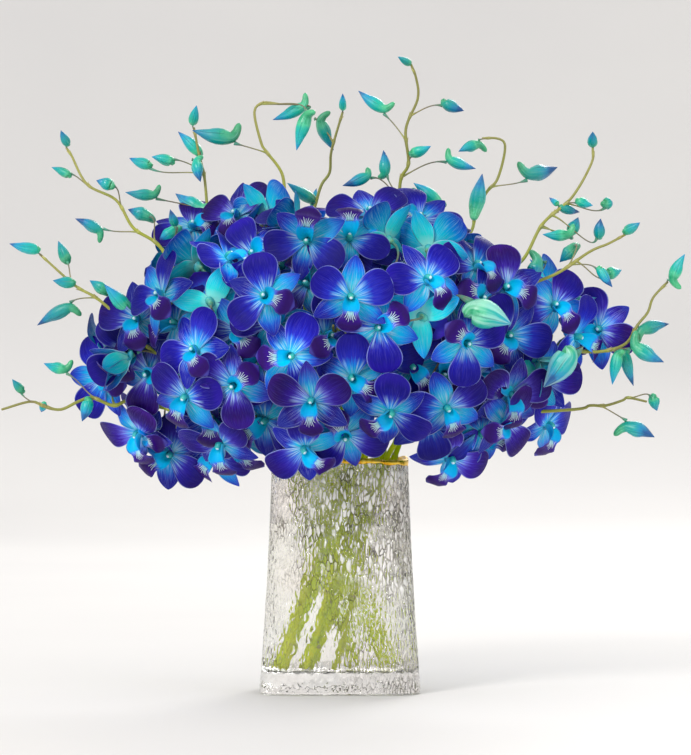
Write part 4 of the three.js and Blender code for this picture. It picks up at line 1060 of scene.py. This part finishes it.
def petal_finish(name, deep, wine, back, veins, edge, vein_strength, margin, reach):
    """Petal paint: streaks run out of a bright base into a deep field, with fine veins and a pale margin.

    The front is mixed from the ramps deep and wine by the flower's own number. The place along them is (v + 0.5
    (streak - 0.5) + 0.1 |u - 0.5|) / r, where r is from reach[0] to reach[1]. tint: hue, light, margin, back."""
    f = Finish(name, Roughness=0.5, Specular_IOR_Level=0.12, Subsurface_Weight=0.08, Subsurface_Scale=0.001,
               Subsurface_Radius=(0.3, 0.45, 1.0))
    u, v = f.sheet()
    hue, light, rim, under = f.tint()
    salt = f.times(hue, 41.0)
    streak = f.threads(u, v, salt, 26.0, 1.7, 3.0, 0.62)
    vein = f.between(f.threads(u, v, salt, 64.0, 3.0), 0.5, 0.68)
    cloud = f.spots(55.0, 3.0)
    aside = f.maths("ABSOLUTE", f.maths("SUBTRACT", u, 0.5))
    out = f.plus(f.stirred(v, streak, 0.5), f.times(aside, 0.10))
    out = f.maths("DIVIDE", out, f.between(f.maths("FRACT", f.times(hue, 3.7)), 0, 1, *reach), clamp=True)
    front = f.blend(f.between(f.stirred(hue, cloud, 0.7), 0.45, 0.95), f.ramp(out, deep), f.ramp(out, wine))
    front = f.blend(f.times(vein, f.between(v, 0.15, 0.95, vein_strength, vein_strength * 0.25)), front, veins)
    spokes = f.between(f.threads(u, v, salt, 15.0, 1.2), 0.46, 0.64)
    pale = f.times(spokes, f.times(f.between(v, 0.04, 0.14), f.between(v, 0.2, 0.5, 1.0, 0.0)))
    front = f.blend(f.times(pale, 0.8), front, srgb(190, 232, 252))
    front = f.blend(f.times(f.maths("POWER", rim, 1.2), margin), front, edge)
    rear = f.ramp(f.stirred(v, cloud, 0.5, clamp=True), back)
    rear = f.blend(f.times(vein, 0.35), rear, srgb(165, 225, 240))
    # glow: random tone and cloud, plus the painted shade of deep flowers that light carries
    glow = f.plus(f.times(light, 0.6), f.times(cloud, 0.5))
    f.paint(f.blend(under, front, rear), f.between(glow, 0.1, 0.95, 0.58, 1.3))
    f.rough(cloud, 0.4, 0.58)
    relief = f.plus(f.times(vein, 0.4), f.times(f.spots(2600.0, 2.0, 0.6), 0.14))
    f.bump(f.plus(f.times(streak, 0.8), relief), 0.5, 0.0005)
    return f.look


def lip_finish():
    """The lip: a cyan throat that turns dark violet on its front lobe, where white lines fan out."""
    f = Finish("lip_paint", Roughness=0.42, Specular_IOR_Level=0.15, Subsurface_Weight=0.1, Subsurface_Scale=0.001,
               Subsurface_Radius=(0.3, 0.45, 1.0))
    u, v = f.sheet()
    hue, light, rim, under = f.tint()
    salt = f.times(hue, 41.0)
    streak = f.threads(u, v, salt, 18.0, 2.5, 3.0, 0.6)
    out = f.stirred(v, streak, 0.16, clamp=True)
    front = f.ramp(out, paints((0.0, 60, 218, 225), (0.2, 0, 200, 240), (0.42, 0, 180, 245), (0.49, 60, 90, 215),
                               (0.55, 50, 8, 136), (0.8, 38, 2, 92), (1.0, 48, 6, 112)))
    lines = f.between(f.threads(u, v, salt, 40.0, 2.0, 1.0), 0.53, 0.62)
    white = f.times(lines, f.times(f.between(v, 0.44, 0.5), f.between(v, 0.5, 0.66, 1.0, 0.0)))
    front = f.blend(f.times(white, 0.8), front, srgb(215, 220, 250))
    front = f.blend(f.times(f.maths("POWER", rim, 1.5), 0.5), front, srgb(100, 110, 225))
    rear = f.ramp(out, paints((0.0, 90, 205, 205), (0.3, 0, 160, 215), (0.5, 0, 130, 222), (0.7, 60, 60, 195),
                              (1.0, 60, 24, 150)))
    # light carries painted shade for flowers deep in the mass
    f.paint(f.blend(under, front, rear), f.between(light, 0, 1, 0.8, 1.2))
    f.rough(streak, 0.35, 0.55)
    f.bump(f.grained(streak, 2400.0, 0.3), 0.45, 0.0004)
    return f.look


def plain_flesh(name, stops, rough, scale, bump):
    """Waxy plant flesh: a ramp along v moved about by cloudy noise, with fine grain in its bump."""
    f = Finish(name, Roughness=rough, Specular_IOR_Level=0.45, Subsurface_Weight=0.12, Subsurface_Scale=0.001,
               Subsurface_Radius=(0.5, 0.8, 0.8))
    _, v = f.sheet()
    hue, light, _, _ = f.tint()
    cloud = f.spots(scale, 3.0, 0.6)
    # light is a random tone; on a flower's column, cap and chin it also carries painted shade for flowers deep in the
    # mass
    f.paint(f.ramp(f.stirred(v, cloud, 0.5, clamp=True), paints(*stops)), f.between(light, 0, 1, 0.8, 1.2),
            f.between(hue, 0, 1, 0.485, 0.515))
    f.rough(cloud, rough - 0.08, rough + 0.1)
    f.bump(f.grained(cloud, 3000.0, 0.25), bump, 0.0004)
    return f.look


def bud_finish():
    """Buds: green at the base and heel, turquoise along the body and blue at the tip, with pale ribs, pale streaks
    that are partly painted highlight and painted shade in three grooves.
    """
    f = Finish("bud_skin", Roughness=0.4, Specular_IOR_Level=0.5, Subsurface_Weight=0.12, Subsurface_Scale=0.0015,
               Subsurface_Radius=(0.4, 0.9, 0.9))
    u, v = f.sheet()
    hue, light, heel, opening = f.tint()
    salt = f.times(hue, 37.0)
    streak = f.threads(u, v, salt, 26.0, 1.6, 3.0, 0.6)
    cloud = f.spots(120.0, 3.0, 0.55)
    out = f.stirred(f.stirred(v, cloud, 0.45), hue, 0.35, clamp=True)
    colour = f.ramp(out, paints((0.0, 70, 175, 125), (0.2, 30, 150, 105), (0.34, 70, 185, 140), (0.45, 0, 170, 148),
                                (0.7, 0, 164, 172), (0.88, 0, 138, 186), (1.0, 10, 84, 150)))
    colour = f.blend(f.times(heel, 0.35), colour, srgb(70, 170, 110))
    # pale streaks along the body: partly the bud's own pale stripes, partly painted highlight
    pale = f.times(f.between(streak, 0.52, 0.72), f.between(v, 0.2, 1.0, 0.55, 0.2))
    colour = f.blend(pale, colour, srgb(140, 225, 200))
    ribs = f.between(f.threads(u, v, salt, 12.0, 0.8), 0.42, 0.6)
    colour = f.blend(f.times(f.times(ribs, opening), 0.45), colour, srgb(185, 235, 220))
    seam = f.maths("ABSOLUTE", f.maths("SINE", f.plus(f.times(u, 9.4248), 1.1)))  # 0 on three lines along the bud
    # painted shade: the three grooves are darkened along the body
    dark = f.times(f.between(seam, 0.0, 0.12, 1.0, 0.0), f.between(v, 0.34, 0.55))
    colour = f.blend(f.times(dark, 0.5), colour, srgb(5, 70, 90))
    f.paint(colour, f.between(light, 0, 1, 0.75, 1.2))
    f.rough(cloud, 0.24, 0.42)
    height = f.grained(f.times(streak, 0.6), 2400.0, 0.15)
    f.bump(f.maths("SUBTRACT", height, f.times(dark, 0.7)), 0.5, 0.0006)
    return f.look


def stem_finish():
    """Stems: fresh green in the vase, where painted light brightens them and makes them glow a little for the light
    that its glass lets through, yellow olive above, with pale rings at the nodes."""
    f = Finish("stem_skin", Roughness=0.42, Subsurface_Weight=0.08, Subsurface_Scale=0.001,
               Subsurface_Radius=(0.6, 1.0, 0.3))
    u, v = f.sheet()
    hue, light, knot, high = f.tint()
    fibre = f.threads(u, v, f.times(hue, 37.0), 30.0, 5.0, 3.0, 0.6)
    cloud = f.spots(90.0, 3.0)
    # the green in the vase is the stems' own fresh colour, made brighter there as painted light
    colour = f.ramp(f.stirred(high, cloud, 0.4, clamp=True),
                    paints((0.0, 236, 250, 0), (0.06, 218, 240, 8), (0.16, 170, 200, 28), (0.4, 158, 180, 36),
                           (0.75, 162, 166, 58), (1.0, 150, 146, 80)))
    colour = f.blend(f.between(fibre, 0.5, 0.75, 0.0, 0.4), colour, srgb(202, 216, 80))
    colour = f.blend(f.between(fibre, 0.28, 0.46, 0.55, 0.0), colour, srgb(96, 112, 0))
    colour = f.blend(f.times(f.between(knot, 0.45, 0.95), 0.35), colour, srgb(196, 190, 120))
    neck = f.times(f.between(v, 0.85, 1.3), f.between(high, 0.0, 0.03, 0.5, 0.0))
    colour = f.blend(neck, colour, srgb(104, 124, 0))
    f.paint(colour, f.between(light, 0, 1, 0.8, 1.15))
    f.rough(fibre, 0.34, 0.52)
    # painted light: in the vase the stems glow with their own colour
    f.set("Emission Color", colour)
    f.set("Specular IOR Level", f.between(high, 0.0, 0.05, 0.12, 0.5))
    f.set("Emission Strength", f.between(high, 0.0, 0.04, 0.1, 0.0))
    f.bump(f.plus(fibre, f.times(cloud, 0.5)), 0.45, 0.0005)
    return f.look


def gilt_finish():
    """Gilding: bright gold with a warm brown flush, brushed unevenly."""
    f = Finish("gilding", Metallic=1.0, Roughness=0.28)
    cloud = f.spots(160.0, 4.0, 0.65)
    gold = f.ramp(cloud, paints((0.25, 160, 104, 20), (0.45, 228, 176, 42), (0.62, 250, 214, 92),
                                (0.8, 255, 234, 140)))
    f.set("Base Color", f.blend(f.between(f.spots(45.0), 0.56, 0.78, 0.0, 0.6), gold, srgb(164, 92, 30)))
    f.rough(cloud, 0.2, 0.42)
    f.bump(f.grained(cloud, 1400.0, 0.4), 0.4, 0.0006)
    return f.look


def glass_finish():
    """Clear glass with warm patches painted in for the warm surroundings it shows, hammered in tall fine cells:
    painted shade darkens the seams, each cell is a facet and some are painted white sparkles.

    Cells are 2.7 mm wide and 8.5 mm tall, and their edges waver. tint: share of painted shade in the seams, the
    painted wavy dark line over the vase's floor, depth of the hammering, and the painted shade along its right
    side. A cell is a sparkle by chance, where the hammering is deep and in patches; a sparkle lets a fifth of the
    light through and shows white."""
    f = Finish("hammered_glass", Transmission_Weight=1.0, IOR=1.5, Roughness=0.01)
    strength, ledge, relief, shade = f.tint()
    waver = f.add("TexNoise", {"Vector": f.place(), "Scale": 130.0, "Detail": 1.0}, out=1)
    waver = f.add("VectorMath", {0: waver, 1: (0.0018, 0.0018, 0.0045)}, operation="MULTIPLY")
    moved = f.add("VectorMath", {0: f.place(), 1: waver}, operation="ADD")
    cells = f.add("VectorMath", {0: moved, 1: (370.0, 370.0, 118.0)}, operation="MULTIPLY")
    seam = f.add("TexVoronoi", {"Vector": cells, "Scale": 1.0}, feature="DISTANCE_TO_EDGE")
    cell = f.add("TexVoronoi", {"Vector": cells, "Scale": 1.0}, feature="F1").node.outputs
    cloud = f.spots(22.0)

    # painted shade: dark seams in patches, and the dark line over the floor
    patch = f.between(f.spots(60.0), 0.35, 0.6)
    line = f.times(f.between(seam, 0.02, 0.11, 1.0, 0.0), f.times(patch, strength))
    line = f.maths("MAXIMUM", line, ledge, clamp=True)
    # warm patches painted in for the warm surroundings seen through the glass, then painted shade high on the right
    clear = f.ramp(cloud, [(0.35, (1.0, 0.995, 0.98, 1)), (0.65, (1.0, 0.965, 0.945, 1))])
    clear = f.blend(f.times(shade, 0.4), clear, (0.35, 0.32, 0.28, 1))
    f.set("Base Color", f.blend(line, clear, (0.07, 0.06, 0.04, 1)))

    chance = f.add("SeparateColor", {0: cell["Color"]})
    # painted highlight: deep cells in patches turn white, standing in for sparkle
    painted_sparkle = f.times(f.between(chance, 0.32, 0.5), f.between(relief, 0.6, 1.0))
    painted_sparkle = f.times(painted_sparkle, f.between(f.spots(75.0), 0.32, 0.5))
    painted_sparkle = f.times(painted_sparkle, f.between(seam, 0.04, 0.16))
    f.set("Transmission Weight", f.maths("SUBTRACT", f.between(cloud, 0.3, 0.7, 1.0, 0.985), f.times(painted_sparkle, 0.8)))

    ripple = f.spots(260.0, distortion=0.4)
    f.rough(ripple, 0.0, 0.04)
    facet = f.between(cell["Distance"], 0.0, 0.9, 4.6, 0.0)
    facet = f.times(facet, f.between(f.spots(48.0), 0.36, 0.62, 0.35, 1.0))
    depth = f.times(f.plus(f.between(seam, 0.0, 0.32), f.times(facet, relief)), relief)
    f.set("Specular IOR Level", f.between(relief, 0.3, 1.0, 0.15, 0.6))
    f.bump(f.plus(depth, f.times(ripple, 0.3)), 0.75, 0.0006)
    return f.look


def water_finish():
    """Still water with a faint tint."""
    f = Finish("water", Base_Color=(0.98, 0.995, 0.99, 1), Transmission_Weight=1.0, IOR=1.333, Roughness=0.0)
    ripple = f.spots(60.0)
    f.rough(ripple, 0.0, 0.02)
    f.bump(ripple, 0.08, 0.0005)
    return f.look


# ---------------------------------------------------------------------------------------------------------
# Making the pieces.

stem_looks = [
    stem_finish(),
    plain_flesh("stalk_skin", [(0.0, 160, 165, 80), (0.3, 140, 132, 88), (0.75, 118, 112, 92), (1.0, 70, 150, 125)],
                rough=0.45, scale=260.0, bump=0.3),
    bud_finish(),
    plain_flesh("scale_skin", [(0.0, 160, 165, 75), (0.6, 176, 170, 105), (1.0, 196, 180, 130)],
                rough=0.6, scale=400.0, bump=0.4),
]
flower_looks = [
    petal_finish(
        "petal_paint",
        deep=paints((0.0, 90, 238, 240), (0.12, 0, 200, 248), (0.24, 25, 135, 240), (0.38, 34, 44, 190),
                    (0.58, 20, 14, 148), (0.8, 17, 9, 130), (1.0, 32, 16, 152)),
        wine=paints((0.0, 100, 232, 240), (0.14, 30, 165, 236), (0.28, 95, 92, 220), (0.44, 50, 22, 152),
                    (0.66, 34, 6, 108), (0.85, 38, 4, 90), (1.0, 52, 11, 118)),
        back=paints((0.0, 130, 242, 240), (0.35, 10, 200, 228), (0.7, 0, 130, 215), (1.0, 30, 60, 185)),
        veins=srgb(140, 130, 245), edge=srgb(165, 180, 255), vein_strength=0.2, margin=0.95, reach=(0.85, 1.35)),
    petal_finish(
        "sepal_paint",
        deep=paints((0.0, 30, 222, 230), (0.28, 0, 205, 245), (0.44, 0, 165, 240), (0.6, 20, 88, 215),
                    (0.78, 22, 26, 168), (1.0, 18, 26, 160)),
        wine=paints((0.0, 25, 215, 230), (0.25, 0, 195, 242), (0.42, 40, 130, 236), (0.62, 52, 42, 178),
                    (0.85, 38, 13, 132), (1.0, 28, 38, 152)),
        back=paints((0.0, 170, 248, 232), (0.3, 40, 228, 228), (0.7, 0, 200, 235), (1.0, 0, 140, 220)),
        veins=srgb(175, 190, 255), edge=srgb(205, 225, 255), vein_strength=0.7, margin=1.0, reach=(0.68, 1.45)),
    lip_finish(),
    plain_flesh("column_skin", [(0.0, 0, 120, 150), (0.5, 10, 150, 160), (1.0, 60, 190, 180)],
                rough=0.3, scale=300.0, bump=0.25),
    plain_flesh("cap_skin", [(0.0, 150, 215, 225), (1.0, 225, 245, 250)], rough=0.35, scale=500.0, bump=0.2),
    plain_flesh("chin_skin", [(0.0, 20, 140, 185), (0.5, 80, 195, 190), (1.0, 120, 180, 140)],
                rough=0.4, scale=220.0, bump=0.3),
]

flowers = [front_flower(row, i) for i, row in enumerate(FRONT_FLOWERS)]
flowers += [back_flower(i) for i in range(BACK_FLOWER_COUNT)]
flowers += [front_flower(row, NUMBER_FROM["inner"] + i) for i, row in enumerate(INNER_FLOWERS)]
flowers += [front_flower(row, NUMBER_FROM["half_open"] + i, math.radians(HALF_OPEN_FOLD))
            for i, row in enumerate(HALF_OPEN_FLOWERS)]

stems = []
for name, foot, mouth, route, buds in SPRAYS:
    path, lengths, mouth_length = stem_path(foot, mouth, route)
    radii = np.interp(lengths, [0, mouth_length, lengths[-1]], STEM_RADIUS)
    stems.append(dict(name=name, path=path, lengths=lengths, mouth=mouth_length, radii=radii, buds=buds, nodes=[]))

# Each flower's stalk leaves the stem that passes nearest to its back.
carried = [[] for _ in stems]
for flower in flowers:
    end = flower["centre"] - flower["facing"] * (OVARY_LENGTH + GAP)
    reaches = [nearest(stem, end) for stem in stems]
    best = min(range(len(stems)), key=lambda k: reaches[k][1])
    carried[best].append((flower, reaches[best][0]))

for number, stem in enumerate(stems):
    rng = np.random.default_rng(SEEDS["stem"] + number)
    shell = Shell()
    for i, bud in enumerate(stem["buds"]):
        add_bud(shell, stem, bud, i, rng)
    for i, bud in enumerate(FRONT_BUDS.get(stem["name"], [])):
        add_bud(shell, stem, bud[:5], i, rng, bud[5])
    for flower, near in carried[number]:
        add_flower_stalk(shell, stem, near, flower, rng)
    stalk_nodes = list(stem["nodes"])
    lower = list(np.arange(rng.uniform(18, 34), stem["mouth"] + 60, NODE_SPACING) + rng.uniform(-3, 3))
    stem["nodes"] += lower
    for k, length in enumerate(stalk_nodes + lower):
        turn = SCALE_TURN * k + number
        add_scale(shell, stem, length, np.array([math.cos(turn), math.sin(turn), 0.3]), rng)
    add_stem(shell, stem, rng)
    piece(stem["name"] + "_fine", shell, stem_looks, "stem", stem["name"])

# Each flower goes into the piece whose solids come nearest to the top of its column.
flower_nodes = sorted(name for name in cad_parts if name.startswith("flowers_"))
node_points = []
for name in flower_nodes:
    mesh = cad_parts[name].data
    points = np.empty(len(mesh.vertices) * 3)
    mesh.vertices.foreach_get("co", points)
    node_points.append(points.reshape(-1, 3) / MM)
held = {name: [] for name in flower_nodes}
for flower in flowers:
    top = flower["centre"] + flower["facing"] * COLUMN_HEIGHT
    gaps = [np.linalg.norm(points - top, axis=1).min() for points in node_points]
    held[flower_nodes[int(np.argmin(gaps))]].append(flower)
for name in flower_nodes:
    shell = Shell()
    for flower in held[name]:
        add_flower(shell, flower, np.random.default_rng(SEEDS["flower"] + flower["number"]))
    piece(name + "_fine", shell, flower_looks, "petal", name)

piece("vase_hammered", vase_shell(np.random.default_rng(SEEDS["vase"])), [glass_finish()], "glass", "vase")
piece("gilding_rim", gilt_shell(np.random.default_rng(SEEDS["gilt"])), [gilt_finish()], "gilt", "gilt_rim")
piece("water_body", water_shell(), [water_finish()], "water", "water")

# ---------------------------------------------------------------------------------------------------------
# Floor, light and camera.


def make_floor():
    """A pale floor that sweeps up far behind: height = 3.2 m x smooth((r - 2.6 m) / 5 m) at a distance r."""
    radius = np.concatenate([np.linspace(300, 2500, 6), np.linspace(2800, 7600, 26)])
    rows, cols = len(radius), 96
    angle, height = circle(cols), 3200 * smooth((radius - 2600) / 5000)
    rings = np.stack([radius[:, None] * np.cos(angle), radius[:, None] * np.sin(angle),
                      np.broadcast_to(height[:, None], (rows, cols))], -1)
    i, j = np.meshgrid(np.arange(rows - 1), np.arange(cols), indexing="ij")
    k = (j + 1) % cols
    quads = np.stack([i * cols + j, (i + 1) * cols + j, (i + 1) * cols + k, i * cols + k], -1).reshape(-1, 4)
    j = np.arange(cols)
    fan = np.stack([np.full(cols, rows * cols), j, (j + 1) % cols], -1)
    points = np.concatenate([rings.reshape(-1, 3), [[0, 0, 0]]]) * MM - [0, 0, 0.0003]
    mesh = bpy.data.meshes.new("floor")
    mesh.from_pydata(points.tolist(), [], quads.tolist() + fan.tolist())
    mesh.polygons.foreach_set("use_smooth", np.ones(len(mesh.polygons), bool))
    floor = bpy.data.objects.new("floor", mesh)
    bpy.context.scene.collection.objects.link(floor)
    f = Finish("pale_floor", Roughness=0.6, Specular_IOR_Level=0.3)
    f.set("Base Color", f.ramp(f.spots(1.3, 3.0), paints((0.3, 232, 229, 226), (0.7, 238, 235, 231))))
    mesh.materials.append(f.look)


def add_light(name, place, target, size, power, colour):
    """A round lamp at a place that faces a target: metres and watts."""
    data = bpy.data.lights.new(name, "AREA")
    data.shape, data.size, data.energy, data.color = "DISK", size, power, colour
    lamp = bpy.data.objects.new(name, data)
    lamp.location = place
    way = unit(np.array(target) - np.array(place))
    lamp.rotation_euler = (math.acos(-way[2]), 0, math.atan2(way[1], way[0]) - math.pi / 2)
    bpy.context.scene.collection.objects.link(lamp)


make_floor()
add_light("key", (-1.5, -2.3, 1.9), (0, 0, 0.26), 0.9, 46, (1.0, 0.98, 0.95))
add_light("fill", (2.3, -1.7, 1.1), (0, 0, 0.25), 1.4, 8, (0.97, 0.98, 1.0))
add_light("back", (0.9, 2.4, 1.7), (0, 0, 0.25), 1.2, 27, (1.0, 1.0, 1.0))

world = bpy.data.worlds.new("studio")
world.use_nodes = True
sky = world.node_tree.nodes["Background"].inputs
sky["Color"].default_value, sky["Strength"].default_value = (0.97, 0.98, 1.0, 1), 0.86
bpy.context.scene.world = world

# The camera stands at the eye and takes in the photo's height: 755 pixels of 0.76 mm. It looks down a little, to AIM,
# [across, up], at the vase's distance.
AIM, PHOTO_HEIGHT, SENSOR = (4.2, 238.3), 755 * 0.76, 36
lens = bpy.data.cameras.new("camera")
lens.sensor_width = SENSOR
lens.lens = SENSOR * EYE[0] / PHOTO_HEIGHT
lens.clip_end = 60
camera = bpy.data.objects.new("camera", lens)
camera.location = (AIM[0] * MM, -EYE[0] * MM, EYE[1] * MM)
camera.rotation_euler = (math.pi / 2 - math.atan2(EYE[1] - AIM[1], EYE[0]), 0, 0)
bpy.context.scene.collection.objects.link(camera)
bpy.context.scene.camera = camera
bpy.context.scene.view_settings.view_transform = "Standard"
